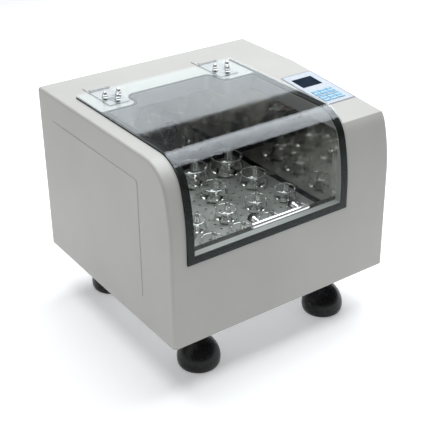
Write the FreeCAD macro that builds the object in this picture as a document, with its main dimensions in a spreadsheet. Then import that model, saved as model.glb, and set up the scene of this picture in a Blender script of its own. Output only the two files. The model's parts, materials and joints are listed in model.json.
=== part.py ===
import FreeCAD, Part
import math
import os
import re
import Sketcher

# A benchtop shaker incubator. Everything is modelled about the bottom centre of the casing,
# with X to the right, -Y towards the user and Z up, and each finished piece is then lifted
# onto its feet by its Placement. All sizes are in millimetres.

SIZES = {
    # casing
    "casing_width": 600, "casing_depth": 564, "casing_height": 420, "casing_skin": 1.5,
    "corner_radius": 75, "lean_radius": 460, "lean_start": 245, "side_round": 7,
    "console_left": 177, "console_rear": 72, "console_slope": 0.0875,
    "ground_gap": 130, "seam_gap": 0.3, "spill": 20,
    # covers
    "cover_skin": 1.5, "cover_edge": 22, "cover_lap": 12,
    "vent_rows": 9, "vent_pitch": 14, "vent_height": 6,
    "panel_skin": 1, "panel_rear": 226, "panel_front": 160, "panel_low": 70, "panel_high": 355,
    "panel_round": 8,
    # window, gasket and lid
    "lid_middle": -45.5, "lid_width": 433, "lid_bottom": 196, "lid_rear": 165, "lid_sheet": 5,
    "gasket_sheet": 3, "gasket_band": 17.5, "gasket_trim": 4, "lid_gap": 0.4,
    "window_rear": 109, "tab_front": 50, "tab_reach": 84, "tab_round": 22,
    # lid handle
    "handle_middle": -50, "handle_height": 262, "handle_length": 150, "handle_bar_radius": 6,
    "handle_post_radius": 4.5, "handle_post_spacing": 106, "handle_standoff": 30,
    "washer_radius": 10, "washer_rise": 4, "handle_screw_radius": 2.5, "handle_screw_head": 6,
    # lid hinges
    "hinge_spread": 152, "hinge_width": 52, "hinge_axis_rear": 8, "hinge_axis_rise": 5,
    "knuckle_radius": 4, "hinge_pin_radius": 2, "hinge_leaf": 2, "hinge_leaf_front": 78,
    "hinge_leaf_rear": 34, "hinge_play": 0.05, "knuckle_gap": 0.5,
    "cap_nut_radius": 6.5, "cap_nut_height": 9, "cap_nut_front": 88, "cap_nut_rear": 115,
    "cap_nut_spread": 17.5, "hinge_stud_radius": 2.5,
    # chamber
    "chamber_middle_x": -25, "chamber_middle_y": -25, "chamber_width": 450, "chamber_depth": 450,
    "chamber_floor": 96, "chamber_ceiling": 385, "liner_skin": 1, "insulation": 24,
    # fan, heater and probes
    "fan_x": -10, "fan_z": 229, "fan_bore_radius": 56, "fan_frame_side": 120,
    "fan_frame_depth": 38, "fan_hub_radius": 20, "fan_blade_radius": 52, "fan_blades": 7,
    "fan_tip_gap": 2, "fan_back": 4, "fan_blade_sheet": 2, "fan_shaft_radius": 3,
    "fan_vent_spread": 30, "fan_vent_side": 24, "guard_wire_radius": 1, "guard_rings": 7,
    "guard_pitch": 8, "guard_standoff": 5, "heater_radius": 42, "heater_rod": 4,
    "probe_radius": 6, "probe_length": 34, "probe_sleeve_radius": 9, "probe_sleeve_length": 16,
    "probe_y": -5, "probe_z": 345, "probe_step_y": -42, "probe_step_z": 14,
    # drive
    "orbit_radius": 10, "drive_plate_side": 400, "drive_drop": 26, "drive_plate_sheet": 6,
    "pillar_radius": 10, "pillar_spread": 130, "housing_radius": 24, "housing_flange_radius": 35,
    "housing_flange_sheet": 6, "housing_rise": 10, "bearing_outer_radius": 16,
    "bearing_inner_radius": 8, "bearing_height": 10, "running_play": 0.05, "idler_circle": 140,
    "crank_gap": 1, "crank_disc_radius": 24, "crank_disc_height": 10, "crank_pin_radius": 6,
    "crank_pin_height": 18, "crank_foot": 12, "pulley_height": 14, "crank_pulley_radius": 45,
    "motor_pulley_radius": 18, "belt_sheet": 3, "belt_gap": 0.3, "belt_inset": 2,
    "motor_offset": 150, "motor_radius": 42, "motor_clearance": 8, "motor_shaft_radius": 6,
    # platform
    "tray_side": 410, "tray_rise": 50, "tray_sheet": 2, "tray_hole_radius": 3,
    "tray_hole_pitch": 25, "tray_hole_rows": 15,
    "carriage_side": 300, "carriage_sheet": 6, "boss_radius": 20, "boss_wall": 5,
    "boss_drop": 12,
    "tray_screw_radius": 4.5, "tray_screw_head": 3,
    # flask clamps
    "clamp_sheet": 1.2, "clamp_wire_radius": 1.4, "clamp_arm_share": 0.62, "clamp_toe": 3,
    "small_ring_radius": 25, "small_clamp_height": 31,
    "medium_ring_radius": 31.5, "medium_clamp_height": 36,
    "large_ring_radius": 39.5, "large_clamp_height": 48,
    "clamp_screw_radius": 2.4, "clamp_screw_head_radius": 4.5, "clamp_screw_head": 3,
    # control panel
    "control_left": 201, "control_width": 92, "control_front": -167, "control_depth": 166,
    "control_sheet": 1.5, "display_left": 214, "display_width": 59, "display_front": -71,
    "display_depth": 46, "key_left": 214, "key_front": -152, "key_width": 17, "key_depth": 26,
    "key_gap": 4, "key_rise": 1.2, "key_clearance": 0.4, "key_stem": 3,
    "board_drop": 13, "board_sheet": 2, "board_edge": 8,
    # power bay
    "inlet_x": 215, "inlet_z": 60, "inlet_width": 48, "inlet_height": 28, "inlet_rise": 3,
    "inlet_depth": 24, "inlet_pin_pitch": 8, "inlet_pin_sheet": 2, "inlet_pin_height": 6,
    "rocker_x": 150, "rocker_width": 14, "rocker_height": 22,
    "rocker_frame": 3, "rocker_radius": 13, "rocker_sink": 10,
    "supply_width": 55, "supply_depth": 150, "supply_height": 90, "supply_x": 258,
    # feet, base pan and cover screws
    "foot_spread_x": 185, "foot_spread_y": 200, "foot_radius": 51, "foot_base_radius": 44,
    "foot_height": 78, "foot_neck_radius": 24, "foot_stud_radius": 8, "foot_stud_grip": 25,
    "foot_nut_radius": 14, "foot_nut_height": 9, "pan_sheet": 2,
    "screw_head_radius": 4, "screw_head": 2,
}

# The pieces stand this far along Y, so that the whole object, handle and inlet included,
# is centred on the origin.
STANCE_Y = ("(gasket_sheet + lid_gap + lid_sheet + handle_standoff + handle_bar_radius"
            " - cover_skin - inlet_rise) / 2")
FRONT = "(-casing_depth / 2)"
REAR = "(casing_depth / 2)"
LID_LEFT = "(lid_middle - lid_width / 2)"
LID_UNDER = "(gasket_sheet + lid_gap)"
LID_OVER = "(gasket_sheet + lid_gap + lid_sheet)"
WINDOW_LEFT = "(lid_middle - lid_width / 2 + gasket_band)"
WINDOW_WIDTH = "(lid_width - 2 * gasket_band)"
WINDOW_SILL = "(lid_bottom + gasket_band)"
HINGE_Y = "(lid_rear + hinge_axis_rear)"
HINGE_Z = "(casing_height + hinge_axis_rise)"
CHAMBER_LEFT = "(chamber_middle_x - chamber_width / 2)"
CHAMBER_RIGHT = "(chamber_middle_x + chamber_width / 2)"
CHAMBER_FRONT = "(chamber_middle_y - chamber_depth / 2)"
CHAMBER_REAR = "(chamber_middle_y + chamber_depth / 2)"
WINDOW_RIGHT = "(lid_middle + lid_width / 2 - gasket_band)"
PLATE_UNDER = "(chamber_floor - drive_drop)"
PLATE_TOP = "(chamber_floor - drive_drop + drive_plate_sheet)"
HOUSING_TOP = "(chamber_floor + housing_rise)"
CRANK_DISC = "(chamber_floor + housing_rise + crank_gap)"
CRANK_PIN = "(chamber_floor + housing_rise + crank_gap + crank_disc_height)"
TRAY_TOP = "(chamber_floor + tray_rise)"
TRAY_UNDER = "(chamber_floor + tray_rise - tray_sheet)"
TURNED = {
    "Z": FreeCAD.Rotation(),
    "X": FreeCAD.Rotation(FreeCAD.Vector(0, 1, 0), 90),
    "Y": FreeCAD.Rotation(FreeCAD.Vector(1, 0, 0), -90),
}
LENGTHS = {"x": "Placement.Base.x", "y": "Placement.Base.y", "z": "Placement.Base.z"}

doc = FreeCAD.newDocument("ShakerIncubator")
sheet = doc.addObject("Spreadsheet::Sheet", "Sizes")
nodes = []


def fill_sheet():
    """Write every driving size into the sheet, with its name as the cell's alias."""
    for row, (name, value) in enumerate(SIZES.items(), start=1):
        sheet.set(f"A{row}", name)
        sheet.set(f"B{row}", str(value))
        sheet.setAlias(f"B{row}", name)
    doc.recompute()


def size(name):
    """The value of one size, for shapes that are worked out in code."""
    return float(sheet.get(name))


def in_sheet(formula):
    """Point each size named in a formula at the sheet."""
    return re.sub(r"[a-z]\w+", lambda word: f"Sizes.{word[0]}" if word[0] in SIZES else word[0], formula)


def bind(item, **formulas):
    """Tie an object's properties to formulas in the driving sizes."""
    for field, formula in formulas.items():
        item.setExpression(LENGTHS.get(field, field), in_sheet(str(formula)))


def box(name, x, y, z, length, width, height):
    item = doc.addObject("Part::Box", name)
    bind(item, x=x, y=y, z=z, Length=length, Width=width, Height=height)
    return item


def rod(name, x, y, z, radius, length, along="Z"):
    """A cylinder that starts at a point and runs along one axis."""
    item = doc.addObject("Part::Cylinder", name)
    item.Placement.Rotation = TURNED[along]
    bind(item, x=x, y=y, z=z, Radius=radius, Height=length)
    return item


def ring(name, x, y, z, radius, wire, along="Z"):
    item = doc.addObject("Part::Torus", name)
    item.Placement.Rotation = TURNED[along]
    bind(item, x=x, y=y, z=z, Radius1=radius, Radius2=wire)
    return item


def hexagon(name, x, y, z, radius, height):
    item = doc.addObject("Part::Prism", name)
    item.Polygon = 6
    bind(item, x=x, y=y, z=z, Circumradius=radius, Height=height)
    return item


def fuse(name, *parts):
    item = doc.addObject("Part::MultiFuse", name)
    item.Shapes = list(parts)
    return item


def cut(name, base, *tools):
    item = doc.addObject("Part::Cut", name)
    item.Base = base
    item.Tool = tools[0] if len(tools) == 1 else fuse(name + "_tools", *tools)
    return item


def common(name, first, second):
    item = doc.addObject("Part::Common", name)
    item.Base = first
    item.Tool = second
    return item


def group(name, parts):
    item = doc.addObject("Part::Compound", name)
    item.Links = list(parts)
    return item


def node(label, item):
    """Name a finished piece and lift it onto its feet."""
    piece = group(label + "_piece", [item])
    piece.Label = label
    bind(piece, y=STANCE_Y, z="ground_gap")
    nodes.append(piece)
    return piece


def new_body(name, plane, offset="0"):
    """A body with an empty sketch on one of its own planes."""
    body = doc.addObject("PartDesign::Body", name)
    return body, new_sketch(body, name + "_sketch", plane, offset)


def new_sketch(body, name, plane, offset="0"):
    sketch = body.newObject("Sketcher::SketchObject", name)
    origin_plane = next(o for o in body.Origin.OriginFeatures if o.Role == plane)
    sketch.AttachmentSupport = [(origin_plane, "")]
    sketch.MapMode = "FlatFace"
    sketch.setExpression("AttachmentOffset.Base.z", in_sheet(offset))
    return sketch


def fix(sketch, kind, geometry, point, formula, guess):
    """Hold one point of a sketch at a distance from the sketch's origin."""
    index = sketch.addConstraint(Sketcher.Constraint(kind, -1, 1, geometry, point, guess))
    sketch.setExpression(f"Constraints[{index}]", in_sheet(str(formula)))


def fix_radius(sketch, geometry, formula, guess):
    index = sketch.addConstraint(Sketcher.Constraint("Radius", geometry, guess))
    sketch.setExpression(f"Constraints[{index}]", in_sheet(str(formula)))


def outline(sketch, corners):
    """A closed polygon whose corners are pairs of formulas."""
    count = len(corners)
    turn = 2 * math.pi / count
    guesses = [(100 * math.cos(i * turn), 100 * math.sin(i * turn)) for i in range(count)]
    for i in range(count):
        start = FreeCAD.Vector(*guesses[i], 0)
        end = FreeCAD.Vector(*guesses[(i + 1) % count], 0)
        sketch.addGeometry(Part.LineSegment(start, end))
    for i in range(count):
        sketch.addConstraint(Sketcher.Constraint("Coincident", i, 2, (i + 1) % count, 1))
    for i, (across, up) in enumerate(corners):
        fix(sketch, "DistanceX", i, 1, across, guesses[i][0])
        fix(sketch, "DistanceY", i, 1, up, guesses[i][1])


def pad(body, sketch, length):
    item = body.newObject("PartDesign::Pad", body.Name + "_pad")
    item.Profile = sketch
    bind(item, Length=length)
    return item


def round_edges(body, chosen, radius):
    """Round the edges of a body that a test picks out."""
    doc.recompute()
    base = body.Tip
    names = [f"Edge{i}" for i, edge in enumerate(base.Shape.Edges, start=1) if chosen(edge)]
    item = body.newObject("PartDesign::Fillet", body.Name + "_round")
    item.Base = (base, names)
    bind(item, Radius=radius)
    return item


def straight_edge(across, up, next_across, next_up):
    return Part.LineSegment(FreeCAD.Vector(across, up, 0), FreeCAD.Vector(next_across, next_up, 0))


def rolled_profile(sketch, outset, rear, base):
    """The casing's side view, grown by an outset: flat top, rolled corner, leaning front."""
    front = -size("casing_depth") / 2
    top = size("casing_height")
    roll = size("corner_radius")
    lean = size("lean_radius")
    lean_middle = FreeCAD.Vector(front + lean, size("lean_start"), 0)
    rise = top - roll - lean_middle.y
    roll_middle = FreeCAD.Vector(lean_middle.x - math.sqrt((lean - roll) ** 2 - rise ** 2), top - roll, 0)
    turn = math.atan2(rise, roll_middle.x - lean_middle.x)
    back, low = size("lid_rear"), 0
    up = FreeCAD.Vector(0, 0, 1)
    sketch.addGeometry(straight_edge(back, low, back, top))
    sketch.addGeometry(straight_edge(back, top, roll_middle.x, top))
    sketch.addGeometry(Part.ArcOfCircle(Part.Circle(roll_middle, up, roll), math.pi / 2, turn))
    sketch.addGeometry(Part.ArcOfCircle(Part.Circle(lean_middle, up, lean), turn, math.pi))
    sketch.addGeometry(straight_edge(front, lean_middle.y, front, low))
    sketch.addGeometry(straight_edge(front, low, back, low))
    join = Sketcher.Constraint
    sketch.addConstraint([
        join("Coincident", 0, 2, 1, 1), join("Tangent", 1, 2, 2, 1), join("Tangent", 2, 2, 3, 1),
        join("Tangent", 3, 2, 4, 1), join("Coincident", 4, 2, 5, 1), join("Coincident", 5, 2, 0, 1),
        join("Vertical", 0), join("Horizontal", 1), join("Horizontal", 5),
    ])
    fix_radius(sketch, 2, f"corner_radius + {outset}", roll)
    fix_radius(sketch, 3, f"lean_radius + {outset}", lean)
    fix(sketch, "DistanceX", 0, 1, rear, back)
    fix(sketch, "DistanceY", 0, 1, base, low)
    fix(sketch, "DistanceY", 0, 2, f"casing_height + {outset}", top)
    fix(sketch, "DistanceX", 4, 2, f"{FRONT} - ({outset})", front)
    fix(sketch, "DistanceY", 4, 1, "lean_start", lean_middle.y)


def rolled_slab(name, outset, left, width, rear, base):
    """The casing's side view, grown by an outset and extruded across part of the width."""
    body, sketch = new_body(name, "YZ_Plane", left)
    rolled_profile(sketch, outset, rear, base)
    pad(body, sketch, width)
    return body


def console_height(y, above="0"):
    """The height of the sloping console at a depth."""
    return f"(casing_height - (console_rear - ({y})) * console_slope + ({above}))"


def console_slab(name, x, width, front, depth, low, high):
    """A slab that lies along the sloping console."""
    body, sketch = new_body(name, "YZ_Plane", x)
    rear = f"({front} + {depth})"
    outline(sketch, [
        (front, console_height(front, low)), (rear, console_height(rear, low)),
        (rear, console_height(rear, high)), (front, console_height(front, high)),
    ])
    pad(body, sketch, width)
    return body


def casing_block(name, inset, rear, base):
    """The casing as a solid, set in by a skin, with the console planed off and its sides rounded."""
    body = rolled_slab(name, f"-({inset})", f"-casing_width / 2 + {inset}",
                       f"casing_width - 2 * {inset}", rear, base)
    plane = new_sketch(body, name + "_plane", "YZ_Plane", f"console_left - {inset}")
    front = f"({FRONT} - spill)"
    outline(plane, [
        ("console_rear", console_height("console_rear", f"-({inset})")),
        ("console_rear", "casing_height + spill"),
        (front, "casing_height + spill"), (front, console_height(front, f"-({inset})")),
    ])
    pocket = body.newObject("PartDesign::Pocket", name + "_console")
    pocket.Profile = plane
    pocket.Reversed = True
    bind(pocket, Length="casing_width")
    doc.recompute()
    ends = (body.Shape.BoundBox.XMin, body.Shape.BoundBox.XMax)
    low, back = body.Shape.BoundBox.ZMin, body.Shape.BoundBox.YMax

    def rolled_rim(edge):
        reach = edge.BoundBox
        at_end = any(abs(reach.XMin - x) < 0.01 and abs(reach.XMax - x) < 0.01 for x in ends)
        return at_end and reach.ZMax > low + 1 and reach.YMin < back - 1

    round_edges(body, rolled_rim, f"side_round - {inset}")
    return body


def window_prism(name, side, trim, drop):
    """What the window leaves open, grown at its sides, behind its rear edge and below its sill."""
    body, sketch = new_body(name, "XY_Plane", f"{WINDOW_SILL} - {drop}")
    left = f"({WINDOW_LEFT} - {side})"
    right = f"({WINDOW_LEFT} + {WINDOW_WIDTH} + {side})"
    left_tab = f"({WINDOW_LEFT} + tab_reach - {trim})"
    right_tab = f"({WINDOW_LEFT} + {WINDOW_WIDTH} - tab_reach + {trim})"
    front = f"({FRONT} - spill)"
    outline(sketch, [
        (left, front), (right, front), (right, f"tab_front + {trim}"),
        (right_tab, f"tab_front + {trim}"), (right_tab, f"window_rear + {trim}"),
        (left_tab, f"window_rear + {trim}"), (left_tab, f"tab_front + {trim}"),
        (left, f"tab_front + {trim}"),
    ])
    pad(body, sketch, f"casing_height - {WINDOW_SILL} + {drop} + spill")
    doc.recompute()
    middle = size("lid_middle")
    reach = size("lid_width") / 2 - size("gasket_band") - 1

    def tab_corner(edge):
        place = edge.BoundBox
        upright = place.XLength < 0.01 and place.YLength < 0.01
        return upright and abs(place.XMin - middle) < reach - size("tab_reach") / 2

    round_edges(body, tab_corner, "tab_round")
    return body


def make_casing():
    outer = casing_block("casing_outer", "0", REAR, "0")
    hollow = casing_block("casing_hollow", "casing_skin", f"{REAR} - casing_skin", "-spill")
    window = window_prism("casing_window", "0", "0", "0")
    rear_way = box("casing_rear_way", "-casing_width / 2 + cover_edge + cover_lap", f"{REAR} - spill",
                   "cover_edge + cover_lap", "casing_width - 2 * (cover_edge + cover_lap)",
                   "2 * spill", "casing_height - 2 * (cover_edge + cover_lap)")
    control_way = box("casing_control_way", "control_left + board_edge", "control_front + board_edge",
                      "casing_height - 3 * spill", "control_width - 2 * board_edge",
                      "control_depth - 2 * board_edge", "4 * spill")
    node("casing_shell", cut("casing", outer, hollow, window, rear_way, control_way))


def make_rear_cover():
    plate = box("cover_plate", "-casing_width / 2 + cover_edge", REAR, "cover_edge",
                "casing_width - 2 * cover_edge", "cover_skin", "casing_height - 2 * cover_edge")
    inlet_way = box("cover_inlet_way", "inlet_x - inlet_width / 2 + inlet_rise", f"{REAR} - spill",
                    "inlet_z - inlet_height / 2 + inlet_rise", "inlet_width - 2 * inlet_rise",
                    "2 * spill", "inlet_height - 2 * inlet_rise")
    rocker_way = box("cover_rocker_way", "rocker_x - rocker_width / 2 - seam_gap",
                     f"{REAR} - spill", "inlet_z - rocker_height / 2 - seam_gap",
                     "rocker_width + 2 * seam_gap", "2 * spill", "rocker_height + 2 * seam_gap")
    slots = [box(f"cover_slot_{i}", "fan_x - fan_frame_side / 2", f"{REAR} - spill",
                 f"fan_z - fan_frame_side / 2 + {i} * vent_pitch", "fan_frame_side", "2 * spill",
                 "vent_height")
             for i in range(int(size("vent_rows")))]
    node("rear_cover", cut("cover", plate, inlet_way, rocker_way, *slots))


def make_side_panels():
    """Thin service panels bonded to both flanks."""
    for side, name in ((-1, "left_service_panel"), (1, "right_service_panel")):
        body, sketch = new_body(name + "_body", "YZ_Plane",
                                f"{side} * (casing_width / 2) + {min(side, 0)} * panel_skin")
        outline(sketch, [("-panel_front", "panel_low"), ("panel_rear", "panel_low"),
                         ("panel_rear", "panel_high"), ("-panel_front", "panel_high")])
        pad(body, sketch, "panel_skin")
        round_edges(body, lambda edge: edge.BoundBox.YLength + edge.BoundBox.ZLength < 0.01, "panel_round")
        node(name, body)


def make_base_pan():
    sheet_metal = box("pan_sheet_metal", "-casing_width / 2", FRONT, "0",
                      "casing_width", "casing_depth", "pan_sheet")
    inside = casing_block("pan_inside", "(casing_skin + seam_gap)",
                          f"{REAR} - casing_skin - seam_gap", "-spill")
    holes = [rod(f"pan_hole_{i}", x, y, "-spill", "foot_stud_radius + seam_gap", "2 * spill")
             for i, (x, y) in enumerate(foot_places())]
    node("base_pan", cut("pan", common("pan_blank", sheet_metal, inside), *holes))


def foot_places():
    return [(f"{i} * foot_spread_x", f"{j} * foot_spread_y") for i in (-1, 1) for j in (-1, 1)]


def make_feet():
    """Bell-shaped rubber feet on levelling studs, each locked by nuts on both sides of the pan."""
    pads, studs, nuts = [], [], []
    for i, (x, y) in enumerate(foot_places()):
        body, sketch = new_body(f"foot_{i}", "XZ_Plane")
        outline(sketch, [
            ("0", "0"), ("foot_base_radius", "0"), ("foot_radius", "foot_height * 0.12"),
            ("foot_radius", "foot_height * 0.36"), ("foot_radius * 0.85", "foot_height * 0.6"),
            ("foot_neck_radius", "foot_height * 0.88"), ("foot_neck_radius", "foot_height"),
            ("0", "foot_height"),
        ])
        turned = body.newObject("PartDesign::Revolution", f"foot_{i}_turned")
        turned.Profile = sketch
        turned.ReferenceAxis = (sketch, ["V_Axis"])
        turned.Angle = 360
        bind(body, x=x, y=y, z="-ground_gap")
        socket = rod(f"foot_{i}_socket", x, y, "-ground_gap + foot_height - foot_stud_grip",
                     "foot_stud_radius", "foot_stud_grip + spill")
        pads.append(cut(f"foot_{i}_pad", body, socket))
        studs.append(rod(f"foot_{i}_stud", x, y, "-ground_gap + foot_height - foot_stud_grip",
                         "foot_stud_radius",
                         "ground_gap - foot_height + foot_stud_grip + pan_sheet + 1.5 * foot_nut_height"))
        for j, z in enumerate(("pan_sheet", "-foot_nut_height", "-ground_gap + foot_height")):
            blank = hexagon(f"foot_{i}_nut_{j}", x, y, z, "foot_nut_radius", "foot_nut_height")
            hole = rod(f"foot_{i}_nut_{j}_hole", x, y, f"{z} - 1", "foot_stud_radius",
                       "foot_nut_height + 2")
            nuts.append(cut(f"foot_{i}_nut_{j}_cut", blank, hole))
    node("foot_pads", group("foot_pad_set", pads))
    node("foot_studs", group("foot_stud_set", studs))
    node("foot_nuts", group("foot_nut_set", nuts))


def make_gasket():
    """A rubber frame round the window, with a thin trim behind it and along the lid's ends."""
    outside = rolled_slab("gasket_outside", "gasket_sheet", LID_LEFT, "lid_width", "lid_rear",
                          "lid_bottom")
    casing = rolled_slab("gasket_casing", "0", f"{LID_LEFT} - spill", "lid_width + 2 * spill",
                         "lid_rear + spill", "lid_bottom - spill")
    band = cut("gasket_band_sheet", outside, casing)
    frame = common("gasket_frame", band,
                   window_prism("gasket_reach", "gasket_band", "gasket_trim", "gasket_band"))
    ends = [box(f"gasket_end_{i}", x, "0", "casing_height - spill", "gasket_trim", "lid_rear",
                "2 * spill")
            for i, x in enumerate((LID_LEFT, f"{LID_LEFT} + lid_width - gasket_trim"))]
    strips = common("gasket_strips", cut("gasket_band_copy", outside, casing),
                    fuse("gasket_ends", *ends))
    window = window_prism("gasket_window", "0", "0", "0")
    node("lid_gasket", cut("gasket", fuse("gasket_whole", frame, strips), window))


def hinge_middles():
    return ["(lid_middle - hinge_spread)", "(lid_middle + hinge_spread)"]


def cap_nut_places():
    places = []
    for middle in hinge_middles():
        places.append((middle, "cap_nut_front"))
        places.append((f"({middle} - cap_nut_spread)", "cap_nut_rear"))
        places.append((f"({middle} + cap_nut_spread)", "cap_nut_rear"))
    return places


def handle_post_places():
    return [f"(handle_middle + {side} * handle_post_spacing / 2)" for side in (-1, 1)]


def make_lid():
    outside = rolled_slab("lid_outside", LID_OVER, LID_LEFT, "lid_width", "lid_rear", "lid_bottom")
    inside = rolled_slab("lid_inside", LID_UNDER, f"{LID_LEFT} - spill", "lid_width + 2 * spill",
                         "lid_rear + spill", "lid_bottom - spill")
    holes = [rod(f"lid_nut_hole_{i}", x, y, "casing_height", "hinge_stud_radius + seam_gap",
                 "spill")
             for i, (x, y) in enumerate(cap_nut_places())]
    holes += [rod(f"lid_post_hole_{i}", x, f"{FRONT} - spill", "handle_height",
                  "handle_screw_radius + seam_gap", "2 * spill", "Y")
              for i, x in enumerate(handle_post_places())]
    node("lid_panel", cut("lid", outside, inside, *holes))


def make_handle():
    """A chrome bar on two posts, each seated on a black washer and screwed from inside."""
    bar_y = f"({FRONT} - {LID_OVER} - handle_standoff)"
    bar = rod("handle_bar_rod", "handle_middle - handle_length / 2", bar_y, "handle_height",
              "handle_bar_radius", "handle_length", "X")
    surface = rolled_slab("handle_surface", LID_OVER, LID_LEFT, "lid_width", "lid_rear", "lid_bottom")
    under = rolled_slab("handle_under", LID_UNDER, LID_LEFT, "lid_width", "lid_rear", "lid_bottom")
    posts, bores, washers, screws = [], [], [], []
    washer_face = f"({FRONT} - {LID_OVER} - washer_rise)"
    for i, x in enumerate(handle_post_places()):
        posts.append(rod(f"handle_post_{i}", x, bar_y, "handle_height", "handle_post_radius",
                         "handle_standoff - washer_rise", "Y"))
        bores.append(rod(f"handle_bore_{i}", x, f"{washer_face} - handle_standoff / 3",
                         "handle_height", "handle_screw_radius", "handle_standoff", "Y"))
        disc = rod(f"washer_disc_{i}", x, washer_face, "handle_height", "washer_radius",
                   "washer_rise + spill / 2", "Y")
        hole = rod(f"washer_hole_{i}", x, f"{washer_face} - 1", "handle_height",
                   "handle_screw_radius", "2 * spill", "Y")
        washers.append(cut(f"washer_{i}", disc, surface, hole))
        shank = rod(f"handle_shank_{i}", x, f"{washer_face} - handle_standoff / 3",
                    "handle_height", "handle_screw_radius",
                    f"handle_standoff / 3 + washer_rise + {LID_OVER} - 1", "Y")
        head = common(f"handle_screw_head_{i}", under,
                      rod(f"handle_head_disc_{i}", x, f"{FRONT} - {LID_UNDER} - 1",
                          "handle_height", "handle_screw_head", "gasket_sheet", "Y"))
        screws.append(fuse(f"handle_screw_{i}", shank, head))
    node("handle_bar", cut("handle", fuse("handle_blank", bar, *posts), *bores))
    node("handle_washers", group("washer_set", washers))
    node("handle_screws", group("handle_screw_set", screws))


def knuckle_spans(moving):
    """Each hinge has five knuckles: the lid's are the second and fourth."""
    pitch = "(hinge_width / 5)"
    return [(f"(-hinge_width / 2 + {i} * {pitch} + knuckle_gap / 2)", f"({pitch} - knuckle_gap)")
            for i in range(5) if (i % 2 == 1) == moving]


def hinge_leaf(name, middle, moving):
    """One leaf with its share of the knuckles, bored for the pin."""
    if moving:
        leaf_y, leaf_z = "hinge_leaf_front", f"(casing_height + {LID_UNDER} - hinge_leaf)"
        leaf_depth = f"({HINGE_Y} - hinge_leaf_front)"
    else:
        leaf_y, leaf_z = HINGE_Y, "casing_height"
        leaf_depth = "hinge_leaf_rear"
    parts = []
    reliefs = [rod(f"{name}_bore", f"{middle} - hinge_width", HINGE_Y, HINGE_Z,
                   "hinge_pin_radius + hinge_play", "2 * hinge_width", "X")]
    parts.append(box(f"{name}_leaf", f"{middle} - hinge_width / 2", leaf_y, leaf_z,
                     "hinge_width", leaf_depth, "hinge_leaf"))
    for i, (start, length) in enumerate(knuckle_spans(moving)):
        parts.append(rod(f"{name}_knuckle_{i}", f"{middle} + {start}", HINGE_Y, HINGE_Z,
                         "knuckle_radius", length, "X"))
        parts.append(box(f"{name}_web_{i}", f"{middle} + {start}",
                         f"{HINGE_Y} - knuckle_radius" if moving else HINGE_Y, leaf_z,
                         length, "knuckle_radius", f"{HINGE_Z} - {leaf_z}"))
    for i, (start, length) in enumerate(knuckle_spans(not moving)):
        reliefs.append(rod(f"{name}_relief_{i}", f"{middle} + {start} - knuckle_gap", HINGE_Y, HINGE_Z,
                           "knuckle_radius + 2 * knuckle_gap", f"{length} + 2 * knuckle_gap", "X"))
    return cut(name, fuse(f"{name}_blank", *parts), *reliefs)


def make_hinges():
    arms, bases, pins = [], [], []
    for i, middle in enumerate(hinge_middles()):
        arms.append(hinge_leaf(f"hinge_arm_{i}", middle, True))
        bases.append(hinge_leaf(f"hinge_base_{i}", middle, False))
        pins.append(rod(f"hinge_pin_{i}", f"{middle} - hinge_width / 2", HINGE_Y, HINGE_Z,
                        "hinge_pin_radius", "hinge_width", "X"))
    studs = [rod(f"hinge_stud_{i}", x, y, f"casing_height + {LID_UNDER} - hinge_leaf / 2",
                 "hinge_stud_radius", "hinge_leaf / 2 + lid_sheet + cap_nut_height / 2")
             for i, (x, y) in enumerate(cap_nut_places())]
    arm_set = [fuse(f"hinge_arm_{i}_studded", arms[i], *studs[3 * i:3 * i + 3]) for i in (0, 1)]
    node("hinge_arms", group("hinge_arm_set", arm_set))
    node("hinge_bases", group("hinge_base_set", bases))
    node("hinge_pins", group("hinge_pin_set", pins))
    nuts = []
    for i, (x, y) in enumerate(cap_nut_places()):
        seat = f"(casing_height + {LID_OVER})"
        crown = doc.addObject("Part::Sphere", f"cap_nut_{i}_crown")
        bind(crown, x=x, y=y, z=f"{seat} + cap_nut_height", Radius="cap_nut_radius * 0.85")
        blank = fuse(f"cap_nut_{i}_blank", hexagon(f"cap_nut_{i}_hex", x, y, seat, "cap_nut_radius",
                                                   "cap_nut_height"), crown)
        bore = rod(f"cap_nut_{i}_bore", x, y, f"{seat} - 1", "hinge_stud_radius",
                   "cap_nut_height / 2 + 1")
        nuts.append(cut(f"cap_nut_{i}", blank, bore))
    node("hinge_cap_nuts", group("cap_nut_set", nuts))


def crank_places():
    """The driven crank stands in the middle of the chamber and three idlers stand round it."""
    places = [("chamber_middle_x", "chamber_middle_y")]
    for angle in (60, 180, 300):
        across = round(math.cos(math.radians(angle)), 6)
        back = round(math.sin(math.radians(angle)), 6)
        places.append((f"(chamber_middle_x + idler_circle * {across})",
                       f"(chamber_middle_y + idler_circle * {back})"))
    return places


def probe_places():
    return [(f"(probe_y + {i} * probe_step_y)", f"(probe_z + {i} * probe_step_z)") for i in (0, 1)]


def chamber_box(name, grown):
    return box(name, f"{CHAMBER_LEFT} - {grown}", f"{CHAMBER_FRONT} - {grown}",
               f"chamber_floor - {grown}", f"chamber_width + 2 * {grown}",
               f"chamber_depth + 2 * {grown}", f"chamber_ceiling - chamber_floor + 2 * {grown}")


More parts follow.
